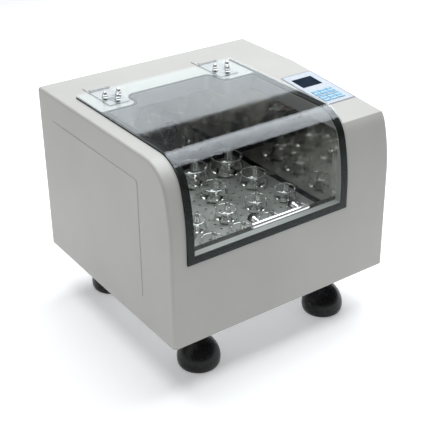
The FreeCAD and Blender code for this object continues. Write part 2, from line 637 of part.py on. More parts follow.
def make_liner():
    """The polished tub: flat sheets round the room, and a collar that rises to the window's rim."""
    inside_casing = casing_block("liner_limit", "casing_skin", f"{REAR} - casing_skin", "-spill")
    outer = fuse("liner_outer", chamber_box("liner_outer_box", "liner_skin"),
                 window_prism("liner_throat", "liner_skin", "liner_skin", "liner_skin"))
    blank = common("liner_blank", outer, inside_casing)
    ways = [chamber_box("liner_inner_box", "0"), window_prism("liner_way", "0", "0", "0")]
    ways += [rod(f"liner_shaft_hole_{i}", x, y, "chamber_floor - spill",
                 "housing_radius + seam_gap", "2 * spill")
             for i, (x, y) in enumerate(crank_places())]
    ways.append(rod("liner_fan_hole", "fan_x", f"{CHAMBER_REAR} - 1", "fan_z", "fan_bore_radius",
                    "spill", "Y"))
    ways += [rod(f"liner_probe_hole_{i}", f"{CHAMBER_RIGHT} - 1", y, z, "probe_radius", "spill", "X")
             for i, (y, z) in enumerate(probe_places())]
    tub = cut("liner", blank, *ways)
    floor = box("liner_floor_reach", CHAMBER_LEFT + " - liner_skin", CHAMBER_FRONT + " - liner_skin",
                "0", "chamber_width + 2 * liner_skin", "chamber_depth + 2 * liner_skin",
                "chamber_floor")
    wall_height = "(chamber_ceiling - chamber_floor)"
    left = box("liner_left_reach", f"{CHAMBER_LEFT} - liner_skin", CHAMBER_FRONT, "chamber_floor",
               "liner_skin", "chamber_depth", wall_height)
    right = box("liner_right_reach", CHAMBER_RIGHT, CHAMBER_FRONT, "chamber_floor",
                "liner_skin", "chamber_depth", wall_height)
    rear = box("liner_rear_reach", CHAMBER_LEFT, CHAMBER_REAR, "chamber_floor",
               "chamber_width", "liner_skin", wall_height)
    front = box("liner_front_reach", CHAMBER_LEFT, f"{CHAMBER_FRONT} - liner_skin", "chamber_floor",
                "chamber_width", "liner_skin", f"{WINDOW_SILL} - liner_skin - chamber_floor")
    reaches = [floor, left, right, rear, front]
    sheets = [common(f"liner_sheet_{i}", tub, reach) for i, reach in enumerate(reaches)]
    sheets += parted("liner_collar", cut("liner_collar", tub, *reaches))
    node("chamber_liner", group("liner_sheets", sheets))


def parted(name, whole):
    """A folded sheet as the flat sheets it is welded from, cut apart at the room's and window's edges."""
    far = "casing_width"
    across = [f"(-{far})", WINDOW_LEFT, WINDOW_RIGHT, far]
    back = [f"(-{far})", CHAMBER_FRONT, "tab_front", far]
    up = ["0", f"({WINDOW_SILL})", "chamber_ceiling", far]
    sheets = []
    for i in range(3):
        for j in range(3):
            for k in range(3):
                reach = box(f"{name}_reach_{i}{j}{k}", across[i], back[j], up[k],
                            f"{across[i + 1]} - {across[i]}", f"{back[j + 1]} - {back[j]}",
                            f"{up[k + 1]} - {up[k]}")
                piece = common(f"{name}_{i}{j}{k}", whole, reach)
                doc.recompute([piece])
                if piece.Shape.Solids:
                    sheets.append(piece)
                else:
                    doc.removeObject(piece.Name)
    return sheets


def make_insulation():
    """Glass-wool boards round the tub: under it, up three of its sides and low across its front."""
    grown = "(liner_skin + seam_gap)"
    left = "(-casing_width / 2 + casing_skin + seam_gap + side_round)"
    right = f"({CHAMBER_RIGHT} + insulation)"
    front = f"({FRONT} + casing_skin + seam_gap)"
    rear = f"({CHAMBER_REAR} + insulation)"
    low = f"({PLATE_TOP} + seam_gap)"
    foot = f"(chamber_floor - {grown})"
    wall_front = f"({CHAMBER_FRONT} - {grown})"
    wall_height = f"(chamber_ceiling - {foot})"
    under = box("wool_under", left, front, low, f"{right} - {left}", f"{rear} - {front}", f"{foot} - {low}")
    shaft_ways = [rod(f"wool_shaft_hole_{i}", x, y, "0", "housing_flange_radius + 1", "chamber_floor")
                  for i, (x, y) in enumerate(crank_places())]
    left_board = box("wool_left", left, wall_front, foot, f"{CHAMBER_LEFT} - {grown} - {left}",
                     f"{rear} - {wall_front}", wall_height)
    right_board = box("wool_right", f"{CHAMBER_RIGHT} + {grown}", wall_front, foot,
                      f"insulation - {grown}", f"{rear} - {wall_front}", wall_height)
    probe_ways = [rod(f"wool_probe_hole_{i}", CHAMBER_RIGHT, y, z, "probe_radius",
                      "insulation + spill", "X")
                  for i, (y, z) in enumerate(probe_places())]
    rear_board = box("wool_rear", f"{CHAMBER_LEFT} - {grown}", f"{CHAMBER_REAR} + {grown}", foot,
                     f"chamber_width + 2 * {grown}", f"insulation - {grown}", wall_height)
    fan_way = rod("wool_fan_hole", "fan_x", CHAMBER_REAR, "fan_z", "fan_bore_radius",
                  "insulation + spill", "Y")
    front_board = box("wool_front", left, front, foot, f"{right} - {left}", f"{wall_front} - {front}",
                      f"{WINDOW_SILL} - {grown} - {foot}")
    node("chamber_insulation", group("wool_boards", [
        cut("wool_under_cut", under, *shaft_ways), left_board,
        cut("wool_right_cut", right_board, *probe_ways), cut("wool_rear_cut", rear_board, fan_way),
        front_board,
    ]))


def make_fan():
    """An axial fan behind the chamber's rear wall, blowing over the heater through a wire guard."""
    frame_y = f"({CHAMBER_REAR} + insulation)"
    side = "fan_frame_side"
    frame = box("fan_frame_block", f"fan_x - {side} / 2", frame_y, f"fan_z - {side} / 2", side,
                "fan_frame_depth", side)
    duct = rod("fan_duct", "fan_x", f"{frame_y} - fan_back", "fan_z",
               "fan_blade_radius + fan_tip_gap", "fan_frame_depth", "Y")
    vents = [box(f"fan_vent_{i}", f"fan_x + {a} * fan_vent_spread - fan_vent_side / 2",
                 f"{frame_y} + fan_back", f"fan_z + {b} * fan_vent_spread - fan_vent_side / 2",
                 "fan_vent_side", "fan_frame_depth", "fan_vent_side")
             for i, (a, b) in enumerate(((1, 1), (1, -1), (-1, 1), (-1, -1)))]
    shaft = rod("fan_shaft", "fan_x", f"{frame_y} + fan_back", "fan_z", "fan_shaft_radius",
                "fan_frame_depth - fan_back", "Y")
    node("fan_frame", fuse("fan_frame_whole", cut("fan_frame_cut", frame, duct, *vents), shaft))

    hub = rod("fan_hub", "fan_x", f"{frame_y} + fan_back", "fan_z", "fan_hub_radius",
              "fan_frame_depth - 3 * fan_back", "Y")
    blades = []
    count = int(size("fan_blades"))
    for i in range(count):
        blade = doc.addObject("Part::Box", f"fan_blade_{i}")
        blade.Placement.Rotation = FreeCAD.Rotation(FreeCAD.Vector(0, 1, 0), 360 * i / count)
        bind(blade, x="fan_x", y=f"{frame_y} + 2 * fan_back", z="fan_z", Length="fan_blade_radius",
             Width="fan_frame_depth - 5 * fan_back", Height="fan_blade_sheet")
        blades.append(blade)
    bore = rod("fan_bore", "fan_x", frame_y, "fan_z", "fan_shaft_radius + running_play",
               "fan_frame_depth", "Y")
    node("fan_impeller", cut("impeller", fuse("impeller_blank", hub, *blades), bore))

    guard_y = f"({CHAMBER_REAR} - guard_standoff)"
    wires = [ring(f"guard_ring_{i}", "fan_x", guard_y, "fan_z", f"{i + 1} * guard_pitch",
                  "guard_wire_radius", "Y") for i in range(int(size("guard_rings")))]
    reach = "guard_rings * guard_pitch"
    wires.append(rod("guard_spoke_across", f"fan_x - {reach}", guard_y, "fan_z",
                     "guard_wire_radius", f"2 * {reach}", "X"))
    wires.append(rod("guard_spoke_up", "fan_x", guard_y, f"fan_z - {reach}", "guard_wire_radius",
                     f"2 * {reach}"))
    for i, (a, b) in enumerate(((1, 0), (-1, 0), (0, 1), (0, -1))):
        wires.append(rod(f"guard_leg_{i}", f"fan_x + {a} * {reach}", guard_y,
                         f"fan_z + {b} * {reach}", "2 * guard_wire_radius", "guard_standoff", "Y"))
    node("fan_guard", fuse("guard", *wires))

    node("heater_ring", ring("heater_coil", "fan_x", f"{CHAMBER_REAR} + insulation / 2", "fan_z",
                             "heater_radius", "heater_rod", "Y"))


def make_probes():
    """A control probe and an over-temperature probe, through the chamber's right wall."""
    for name, (y, z) in zip(("temperature_probe", "cutout_probe"), probe_places()):
        stem = rod(f"{name}_stem", f"{CHAMBER_RIGHT} - probe_length", y, z, "probe_radius / 2",
                   "probe_length + insulation + spill / 2", "X")
        sleeve = rod(f"{name}_sleeve", f"{CHAMBER_RIGHT} - probe_sleeve_length", y, z,
                     "probe_sleeve_radius", "probe_sleeve_length", "X")
        node(name, fuse(f"{name}_whole", stem, sleeve))


def make_drive_base():
    side = "drive_plate_side"
    plate = box("plate_blank", f"chamber_middle_x - {side} / 2", f"chamber_middle_y - {side} / 2",
                PLATE_UNDER, side, side, "drive_plate_sheet")
    holes = [rod(f"plate_hole_{i}", x, y, "0", "bearing_outer_radius", "casing_height")
             for i, (x, y) in enumerate(crank_places())]
    holes.append(rod("plate_motor_hole", "chamber_middle_x + motor_offset", "chamber_middle_y", "0",
                     "motor_shaft_radius + 1", "casing_height"))
    node("drive_plate", cut("plate", plate, *holes))
    pillars = [rod(f"pillar_{i}", f"chamber_middle_x + {a} * pillar_spread",
                   f"chamber_middle_y + {b} * pillar_spread", "pan_sheet", "pillar_radius",
                   f"{PLATE_UNDER} - pan_sheet")
               for i, (a, b) in enumerate(((1, 1), (1, -1), (-1, 1), (-1, -1)))]
    node("plate_pillars", group("pillar_set", pillars))

    housings, bearings = [], []
    for i, (x, y) in enumerate(crank_places()):
        barrel = rod(f"housing_{i}_barrel", x, y, PLATE_TOP, "housing_radius",
                     f"{HOUSING_TOP} - {PLATE_TOP}")
        flange = rod(f"housing_{i}_flange", x, y, PLATE_TOP, "housing_flange_radius",
                     "housing_flange_sheet")
        bore = rod(f"housing_{i}_bore", x, y, "0", "bearing_outer_radius", "casing_height")
        housings.append(cut(f"housing_{i}", fuse(f"housing_{i}_blank", barrel, flange), bore))
        for j, z in enumerate((PLATE_TOP, f"({HOUSING_TOP} - bearing_height)")):
            race = rod(f"bearing_{i}_{j}_race", x, y, z, "bearing_outer_radius", "bearing_height")
            way = rod(f"bearing_{i}_{j}_way", x, y, "0", "bearing_inner_radius", "casing_height")
            bearings.append(cut(f"bearing_{i}_{j}", race, way))
    node("bearing_housings", group("housing_set", housings))
    node("shaft_bearings", group("bearing_set", bearings))


def crank(name, x, y, foot):
    """A shaft in two bearings, an eccentric disc on top of it and a pin that carries the platform."""
    pin_x = f"({x} + orbit_radius)"
    shaft = rod(f"{name}_shaft", x, y, foot, "bearing_inner_radius - running_play",
                f"{CRANK_DISC} - {foot}")
    disc = rod(f"{name}_disc", x, y, CRANK_DISC, "crank_disc_radius", "crank_disc_height")
    pin = rod(f"{name}_pin", pin_x, y, CRANK_PIN, "crank_pin_radius - running_play",
              "crank_pin_height")
    return fuse(name, shaft, disc, pin)


def make_drive():
    places = crank_places()
    node("drive_crank", crank("drive_crank_whole", *places[0], "crank_foot"))
    for i, place in enumerate(places[1:], start=1):
        node(f"idler_crank_{i}", crank(f"idler_{i}_whole", *place, PLATE_TOP))

    pulley_foot = "(crank_foot + belt_inset)"
    x, y = places[0]
    wheel = rod("crank_pulley_wheel", x, y, pulley_foot, "crank_pulley_radius", "pulley_height")
    bore = rod("crank_pulley_bore", x, y, "0", "bearing_inner_radius - running_play",
               "casing_height")
    node("crank_pulley", cut("crank_pulley_cut", wheel, bore))

    motor_x = f"({x} + motor_offset)"
    can_foot = f"({pulley_foot} + pulley_height + motor_clearance)"
    can = rod("motor_can", motor_x, y, can_foot, "motor_radius", f"{PLATE_UNDER} - {can_foot}")
    way = rod("motor_way", motor_x, y, "0", "motor_shaft_radius + running_play", "casing_height")
    node("drive_motor", cut("motor", can, way))
    spindle = rod("motor_spindle", motor_x, y, "crank_foot", "motor_shaft_radius",
                  f"{PLATE_UNDER} - crank_foot")
    small = rod("motor_pulley_wheel", motor_x, y, pulley_foot, "motor_pulley_radius",
                "pulley_height")
    node("motor_pulley", fuse("motor_pulley_whole", spindle, small))

    belt_foot = f"({pulley_foot} + belt_inset)"
    belt_height = "(pulley_height - 2 * belt_inset)"
    outside = belt_loop("belt_outside", size("belt_gap") + size("belt_sheet"), belt_foot, belt_height)
    inside = belt_loop("belt_inside", size("belt_gap"), belt_foot, belt_height)
    node("drive_belt", cut("belt", outside, inside))


def belt_loop(name, grown, foot, height):
    """The stadium round both pulleys, as a solid: its tangents follow from the two radii."""
    big = size("crank_pulley_radius") + grown
    small = size("motor_pulley_radius") + grown
    reach = size("motor_offset")
    lean = math.asin((big - small) / reach)
    start = FreeCAD.Vector(size("chamber_middle_x"), size("chamber_middle_y"), 0)
    end = start + FreeCAD.Vector(reach, 0, 0)

    def rim(middle, radius, angle):
        return middle + FreeCAD.Vector(radius * math.cos(angle), radius * math.sin(angle), 0)

    quarter = math.pi / 2 - lean
    upper_big, lower_big = rim(start, big, quarter), rim(start, big, -quarter)
    upper_small, lower_small = rim(end, small, quarter), rim(end, small, -quarter)
    edges = [
        Part.Arc(upper_big, rim(start, big, math.pi), lower_big).toShape(),
        Part.LineSegment(lower_big, lower_small).toShape(),
        Part.Arc(lower_small, rim(end, small, 0), upper_small).toShape(),
        Part.LineSegment(upper_small, upper_big).toShape(),
    ]
    loop = doc.addObject("Part::Feature", name + "_loop")
    loop.Shape = Part.Face(Part.Wire(edges))
    item = doc.addObject("Part::Extrusion", name)
    item.Base = loop
    item.DirMode = "Custom"
    item.Dir = FreeCAD.Vector(0, 0, 1)
    item.Solid = True
    bind(item, LengthFwd=height, z=foot)
    return item


def platform_middle():
    return "(chamber_middle_x + orbit_radius)", "chamber_middle_y"


def clamp_sets():
    """Each size of clamp: its name, and where its clamps stand on the platform."""
    small = [(-120, -165), (-40, -165), (40, -165), (120, -165),
             (-104, -70), (-16, -70), (72, -70), (160, -70)]
    medium = [(-97, 35), (23, 35), (143, 35)]
    large = [(-83, 133), (24, 133), (131, 133)]
    return [("small", small), ("medium", medium), ("large", large)]


def make_platform():
    x, y = platform_middle()
    plate = box("tray_blank", f"{x} - tray_side / 2", f"{y} - tray_side / 2", TRAY_UNDER,
                "tray_side", "tray_side", "tray_sheet")
    node("platform_tray", cut("tray", plate, tray_holes()))

    deck = f"({TRAY_UNDER} - carriage_sheet)"
    carriage = box("carriage_blank", f"{x} - carriage_side / 2", f"{y} - carriage_side / 2", deck,
                   "carriage_side", "carriage_side", "carriage_sheet")
    bosses, ways, races = [carriage], [], []
    for i, (cx, cy) in enumerate(crank_places()):
        pin_x = f"({cx} + orbit_radius)"
        bosses.append(rod(f"boss_{i}", pin_x, cy, f"{deck} - boss_drop", "boss_radius", "boss_drop"))
        ways.append(rod(f"boss_way_{i}", pin_x, cy, f"{deck} - boss_drop", "boss_radius - boss_wall",
                        "boss_drop"))
        race = rod(f"carriage_race_{i}", pin_x, cy, f"{deck} - boss_drop + 1",
                   "boss_radius - boss_wall", "boss_drop - 1")
        way = rod(f"carriage_way_{i}", pin_x, cy, "0", "crank_pin_radius", "casing_height")
        races.append(cut(f"carriage_bearing_{i}", race, way))
        ways.append(rod(f"deck_way_{i}", pin_x, cy, deck, "crank_pin_radius + 1",
                        "carriage_sheet - 2"))
    node("carriage_plate", cut("carriage", fuse("carriage_whole", *bosses), *ways))
    node("carriage_bearings", group("carriage_bearing_set", races))

    screws = []
    for i, (across, back) in enumerate(tray_screw_places()):
        screws.append(rod(f"tray_screw_{i}", f"{x} + {across}", f"{y} + {back}", TRAY_TOP,
                          "tray_screw_radius", "tray_screw_head"))
    node("tray_screws", group("tray_screw_set", screws))


def tray_screw_places():
    """The screws that hold the tray to the carriage stand between the clamps."""
    return [(-80, -118), (80, -118), (-30, 85), (78, 85)]


def tray_holes():
    """A square field of bolt holes and one under each clamp, as one tool."""
    middle = FreeCAD.Vector(size("chamber_middle_x") + size("orbit_radius"), size("chamber_middle_y"), 0)
    rows, pitch = int(size("tray_hole_rows")), size("tray_hole_pitch")
    first = -(rows - 1) * pitch / 2
    places = [(first + i * pitch, first + j * pitch) for i in range(rows) for j in range(rows)]
    places = [place for place in places if clear_of_clamps(place)]
    places += [place for _, stands in clamp_sets() for place in stands]
    low = FreeCAD.Vector(0, 0, size("chamber_floor") + size("tray_rise") - 2 * size("tray_sheet"))
    drills = [Part.makeCylinder(size("tray_hole_radius"), 3 * size("tray_sheet"),
                                middle + low + FreeCAD.Vector(a, b, 0)) for a, b in places]
    item = doc.addObject("Part::Feature", "tray_drills")
    item.Shape = Part.makeCompound(drills)
    return item


def clear_of_clamps(place):
    """Whether a grid hole stays clear of the hole under every clamp and of the tray's screws."""
    wall = 4 * size("tray_hole_radius")
    taken = [stand for _, stands in clamp_sets() for stand in stands] + tray_screw_places()
    return all(math.dist(place, stand) > wall for stand in taken)


def clamp_spring(name, kind, x, y):
    """A base disc with four sprung arms that lean in towards the ring."""
    height, radius = f"{kind}_clamp_height", f"{kind}_ring_radius"
    inner = f"({radius} - clamp_wire_radius - seam_gap)"
    toe = f"({radius} + clamp_toe)"
    body, disc = new_body(name, "XY_Plane")
    disc.addGeometry(Part.Circle(FreeCAD.Vector(0, 0, 0), FreeCAD.Vector(0, 0, 1), 20))
    disc.addConstraint(Sketcher.Constraint("Coincident", 0, 3, -1, 1))
    fix_radius(disc, 0, f"{toe} - clamp_sheet", 20)
    pad(body, disc, "clamp_sheet")
    side = new_sketch(body, name + "_side", "XZ_Plane")
    outline(side, [
        (f"{toe} - 4 * clamp_sheet", "0"), (f"{toe} - clamp_sheet / 2", "0"),
        (toe, "clamp_sheet"), (inner, height), (f"{inner} - clamp_sheet", height),
        (f"{toe} - 1.5 * clamp_sheet", "clamp_sheet"), (f"{toe} - 4 * clamp_sheet", "clamp_sheet"),
    ])
    arm = pad(body, side, f"{radius} * clamp_arm_share")
    arm.Midplane = True
    arms = body.newObject("PartDesign::PolarPattern", name + "_arms")
    arms.Originals = [arm]
    arms.Axis = (disc, ["N_Axis"])
    arms.Angle = 360
    arms.Occurrences = 4
    body.Tip = arms
    bind(body, x=x, y=y, z=TRAY_TOP)
    hole = rod(f"{name}_hole", x, y, "0", "clamp_screw_radius + seam_gap", "casing_height")
    notch = ring(f"{name}_notch", x, y, ring_height(kind), f"{kind}_ring_radius",
                 "clamp_wire_radius + running_play")
    return cut(f"{name}_notched", body, hole, notch)


def ring_height(kind):
    return f"({TRAY_TOP} + {kind}_clamp_height - 2 * clamp_wire_radius)"


def make_clamps():
    middle_x, middle_y = platform_middle()
    rings, screws = [], []
    for kind, stands in clamp_sets():
        springs = []
        for i, (across, back) in enumerate(stands):
            name = f"{kind}_clamp_{i}"
            x, y = f"({middle_x} + {across})", f"({middle_y} + {back})"
            springs.append(clamp_spring(name, kind, x, y))
            rings.append(ring(f"{name}_ring", x, y, ring_height(kind), f"{kind}_ring_radius",
                              "clamp_wire_radius"))
            head = rod(f"{name}_head", x, y, f"{TRAY_TOP} + clamp_sheet", "clamp_screw_head_radius",
                       "clamp_screw_head")
            shank = rod(f"{name}_shank", x, y, TRAY_UNDER, "clamp_screw_radius",
                        "tray_sheet + clamp_sheet + 1")
            screws.append(fuse(f"{name}_screw", head, shank))
        node(f"{kind}_clamps", group(f"{kind}_clamp_set", springs))
    node("clamp_rings", group("clamp_ring_set", rings))
    node("clamp_screws", group("clamp_screw_set", screws))


def key_places():
    places = []
    for row in range(2):
        for column in range(3):
            places.append((f"(key_left + {column} * (key_width + key_gap))",
                           f"(key_front + {row} * (key_depth + key_gap))"))
    return places


def make_controls():
    """A keypad plate on the console with a display window, six keys and the board below them."""
    plate = console_slab("control_slab", "control_left", "control_width", "control_front",
                         "control_depth", "0", "control_sheet")
    ways = [console_slab(f"key_way_{i}", f"({x} - key_clearance)", "key_width + 2 * key_clearance",
                         f"({y} - key_clearance)", "(key_depth + 2 * key_clearance)", "-spill",
                         "spill")
            for i, (x, y) in enumerate(key_places())]
    ways.append(console_slab("display_way", "(display_left - seam_gap)",
                             "display_width + 2 * seam_gap", "(display_front - seam_gap)",
                             "(display_depth + 2 * seam_gap)", "-spill", "spill"))
    node("control_plate", cut("control", plate, *ways))
    node("display_window", console_slab("display_slab", "display_left", "display_width",
                                        "display_front", "display_depth",
                                        "-2 * control_sheet", "control_sheet"))
    for i, (x, y) in enumerate(key_places(), start=1):
        node(f"key_{i}", console_slab(f"key_slab_{i}", x, "key_width", y, "key_depth",
                                      "-key_stem", "control_sheet + key_rise"))
    node("controller_board", console_slab("board_slab", "(control_left + board_edge)",
                                          "control_width - 2 * board_edge",
                                          "(control_front + board_edge)",
                                          "(control_depth - 2 * board_edge)",
                                          "-board_drop", "-board_drop + board_sheet"))


def make_power():
    """A mains inlet and a rocker switch in the rear cover, and a supply in the right bay."""
    face = f"({REAR} + cover_skin)"
    flange = box("inlet_flange", "inlet_x - inlet_width / 2", face,
                 "inlet_z - inlet_height / 2", "inlet_width", "inlet_rise", "inlet_height")
    well = box("inlet_well", "inlet_x - inlet_width / 2 + inlet_rise + seam_gap",
               f"{face} - inlet_depth", "inlet_z - inlet_height / 2 + inlet_rise + seam_gap",
               "inlet_width - 2 * (inlet_rise + seam_gap)", "inlet_depth",
               "inlet_height - 2 * (inlet_rise + seam_gap)")
    socket = box("inlet_socket", "inlet_x - inlet_width / 2 + 3 * inlet_rise",
                 f"{face} - inlet_depth + inlet_rise",
                 "inlet_z - inlet_height / 2 + 2 * inlet_rise",
                 "inlet_width - 6 * inlet_rise", "inlet_depth + spill",
                 "inlet_height - 4 * inlet_rise")
    blades = [box(f"inlet_blade_{i}", f"inlet_x + {i} * inlet_pin_pitch - inlet_pin_sheet / 2",
                  f"{face} - inlet_depth + inlet_rise / 2", "inlet_z - inlet_pin_height / 2",
                  "inlet_pin_sheet", "inlet_depth - 2 * inlet_rise", "inlet_pin_height")
              for i in (-1, 0, 1)]
    node("power_inlet", fuse("inlet", cut("inlet_cut", fuse("inlet_blank", flange, well), socket),
                             *blades))
    rocker = rod("rocker_drum", "rocker_x - rocker_width / 2 + seam_gap",
                 f"{face} - rocker_sink", "inlet_z", "rocker_radius - seam_gap",
                 "rocker_width - 2 * seam_gap", "X")
    trim = box("rocker_limit", "rocker_x - rocker_width", f"{face} - rocker_sink - rocker_frame",
               "inlet_z - rocker_height / 2 + 1", "2 * rocker_width", "2 * spill",
               "rocker_height - 2")
    node("power_rocker", common("rocker", rocker, trim))
    node("power_supply", box("supply", "supply_x - supply_width / 2", "-supply_depth / 2",
                             "2 * pan_sheet", "supply_width", "supply_depth", "supply_height"))


def make_screws():
    """Pan-head screws that hold the rear cover."""
    heads = []
    for i, x in enumerate((-1, 0, 1)):
        for j, z in enumerate(("1.5 * cover_edge", "casing_height - 1.5 * cover_edge")):
            heads.append(rod(f"cover_screw_{i}_{j}", f"{x} * (casing_width / 2 - 1.5 * cover_edge)",
                             f"{REAR} + cover_skin", z, "screw_head_radius", "screw_head", "Y"))
    node("cover_screws", group("screw_set", heads))


def check_and_write():
    """Stop on any failed feature or bad shape, then write one file for each piece."""
    doc.recompute()
    for item in doc.Objects:
        if "Invalid" in item.State or "Error" in item.State:
            raise RuntimeError(f"{item.Name} failed: {item.State}")
    for piece in nodes:
        if piece.Shape.isNull() or not piece.Shape.isValid() or not piece.Shape.Solids:
            raise RuntimeError(f"{piece.Label} has no valid solid")
    os.makedirs("parts", exist_ok=True)
    for piece in nodes:
        piece.Shape.exportStep(os.path.join("parts", piece.Label + ".step"))
        print(f"{piece.Label}: {len(piece.Shape.Solids)} solid(s), {piece.Shape.Volume / 1000:.1f} cm3")


def main():
    fill_sheet()
    make_casing()
    make_rear_cover()
    make_side_panels()
    make_base_pan()
    make_feet()
    make_gasket()
    make_lid()
    make_handle()
    make_hinges()
    make_liner()
    make_insulation()
    make_fan()
    make_probes()
    make_drive_base()
    make_drive()
    make_platform()
    make_clamps()
    make_controls()
    make_power()
    make_screws()
    check_and_write()


main()
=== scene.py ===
import bmesh
import bpy
import json
import math
from mathutils import Matrix, Vector


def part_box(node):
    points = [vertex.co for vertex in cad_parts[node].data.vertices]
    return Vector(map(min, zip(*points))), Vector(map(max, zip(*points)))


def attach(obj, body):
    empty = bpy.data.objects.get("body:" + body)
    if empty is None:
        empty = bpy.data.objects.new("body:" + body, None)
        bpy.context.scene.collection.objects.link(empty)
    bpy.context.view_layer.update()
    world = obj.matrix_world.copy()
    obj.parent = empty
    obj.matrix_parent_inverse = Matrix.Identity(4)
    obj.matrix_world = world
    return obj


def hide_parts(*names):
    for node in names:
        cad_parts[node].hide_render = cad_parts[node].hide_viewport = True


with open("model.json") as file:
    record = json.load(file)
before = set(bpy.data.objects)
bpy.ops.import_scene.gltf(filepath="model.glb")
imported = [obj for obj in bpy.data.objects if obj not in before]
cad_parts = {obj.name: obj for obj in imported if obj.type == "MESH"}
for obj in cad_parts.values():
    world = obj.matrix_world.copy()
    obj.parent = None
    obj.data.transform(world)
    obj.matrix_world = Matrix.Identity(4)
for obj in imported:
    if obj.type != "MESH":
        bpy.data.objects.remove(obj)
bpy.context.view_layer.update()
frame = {"nodes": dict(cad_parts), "record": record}
nodes = frame["nodes"]
scene = bpy.context.scene


# camera
studioCamera = {
    "place": (-1.1821, -1.6966, 1.3847),
    "turn": (63.575, 0.141, -36.101),     # degrees
    "lens": 79.7,
    "shiftAcross": -0.0355,
    "shiftUp": -0.1066,
    "farEnd": 50,
}


def addCamera():
    lens = bpy.data.cameras.new("studioCamera")
    lens.lens = studioCamera["lens"]
    lens.shift_x = studioCamera["shiftAcross"]
    lens.shift_y = studioCamera["shiftUp"]
    lens.clip_end = studioCamera["farEnd"]
    camera = bpy.data.objects.new("studioCamera", lens)
    camera.location = studioCamera["place"]
    camera.rotation_euler = [math.radians(angle) for angle in studioCamera["turn"]]
    scene.collection.objects.link(camera)
    scene.camera = camera


addCamera()
print("camera placed")


# node helpers for the finishes
patternRange = (0.3, 0.7)     # where a noise pattern has nearly all of its values
mergeDistance = 0.000002


def newMaterial(name):
    material = bpy.data.materials.new(name)
    material.use_nodes = True
    tree = material.node_tree
    return material, tree, tree.nodes["Principled BSDF"]


def objectPoint(tree, stretch=(1, 1, 1), shift=(0, 0, 0)):
    place = tree.nodes.new("ShaderNodeTexCoord")
    mapping = tree.nodes.new("ShaderNodeMapping")
    mapping.inputs["Scale"].default_value = stretch
    mapping.inputs["Location"].default_value = shift
    tree.links.new(place.outputs["Object"], mapping.inputs["Vector"])
    return mapping.outputs["Vector"]


def noise(tree, point, scale, detail=3.0, distortion=0.0):
    pattern = tree.nodes.new("ShaderNodeTexNoise")
    pattern.inputs["Scale"].default_value = scale
    pattern.inputs["Detail"].default_value = detail
    pattern.inputs["Distortion"].default_value = distortion
    tree.links.new(point, pattern.inputs["Vector"])
    return pattern.outputs["Fac"]


def spread(tree, value, low, high, source=patternRange):
    # a pattern's own range, stretched from one value to another
    reach = tree.nodes.new("ShaderNodeMapRange")
    ends = {"From Min": source[0], "From Max": source[1], "To Min": low, "To Max": high}
    for socket, number in ends.items():
        reach.inputs[socket].default_value = number
    tree.links.new(value, reach.inputs["Value"])
    return reach.outputs["Result"]


def shade(tree, value, dark, light):
    ramp = tree.nodes.new("ShaderNodeValToRGB")
    for stop, position, colour in zip(ramp.color_ramp.elements, patternRange, (dark, light)):
        stop.position = position
        stop.color = (*colour, 1)
    tree.links.new(value, ramp.inputs["Fac"])
    return ramp.outputs["Color"]


def blendColours(tree, share, first, second):
    mix = tree.nodes.new("ShaderNodeMix")
    mix.data_type = "RGBA"
    tree.links.new(share, mix.inputs["Factor"])
    for socket, colour in ((mix.inputs["A"], first), (mix.inputs["B"], second)):
        if isinstance(colour, tuple):
            socket.default_value = (*colour, 1)
        else:
            tree.links.new(colour, socket)
    return mix.outputs["Result"]


def calculate(tree, operation, first, second=0.0):
    step = tree.nodes.new("ShaderNodeMath")
    step.operation = operation
    for socket, value in ((step.inputs[0], first), (step.inputs[1], second)):
        if isinstance(value, (int, float)):
            socket.default_value = value
        else:
            tree.links.new(value, socket)
    return step.outputs[0]


def splitAxes(tree, point):
    axes = tree.nodes.new("ShaderNodeSeparateXYZ")
    tree.links.new(point, axes.inputs["Vector"])
    return axes.outputs


def setRelief(tree, shader, height, depth):
    relief = tree.nodes.new("ShaderNodeBump")
    relief.inputs["Strength"].default_value = 1.0
    relief.inputs["Distance"].default_value = depth
    tree.links.new(height, relief.inputs["Height"])
    tree.links.new(relief.outputs["Normal"], shader.inputs["Normal"])


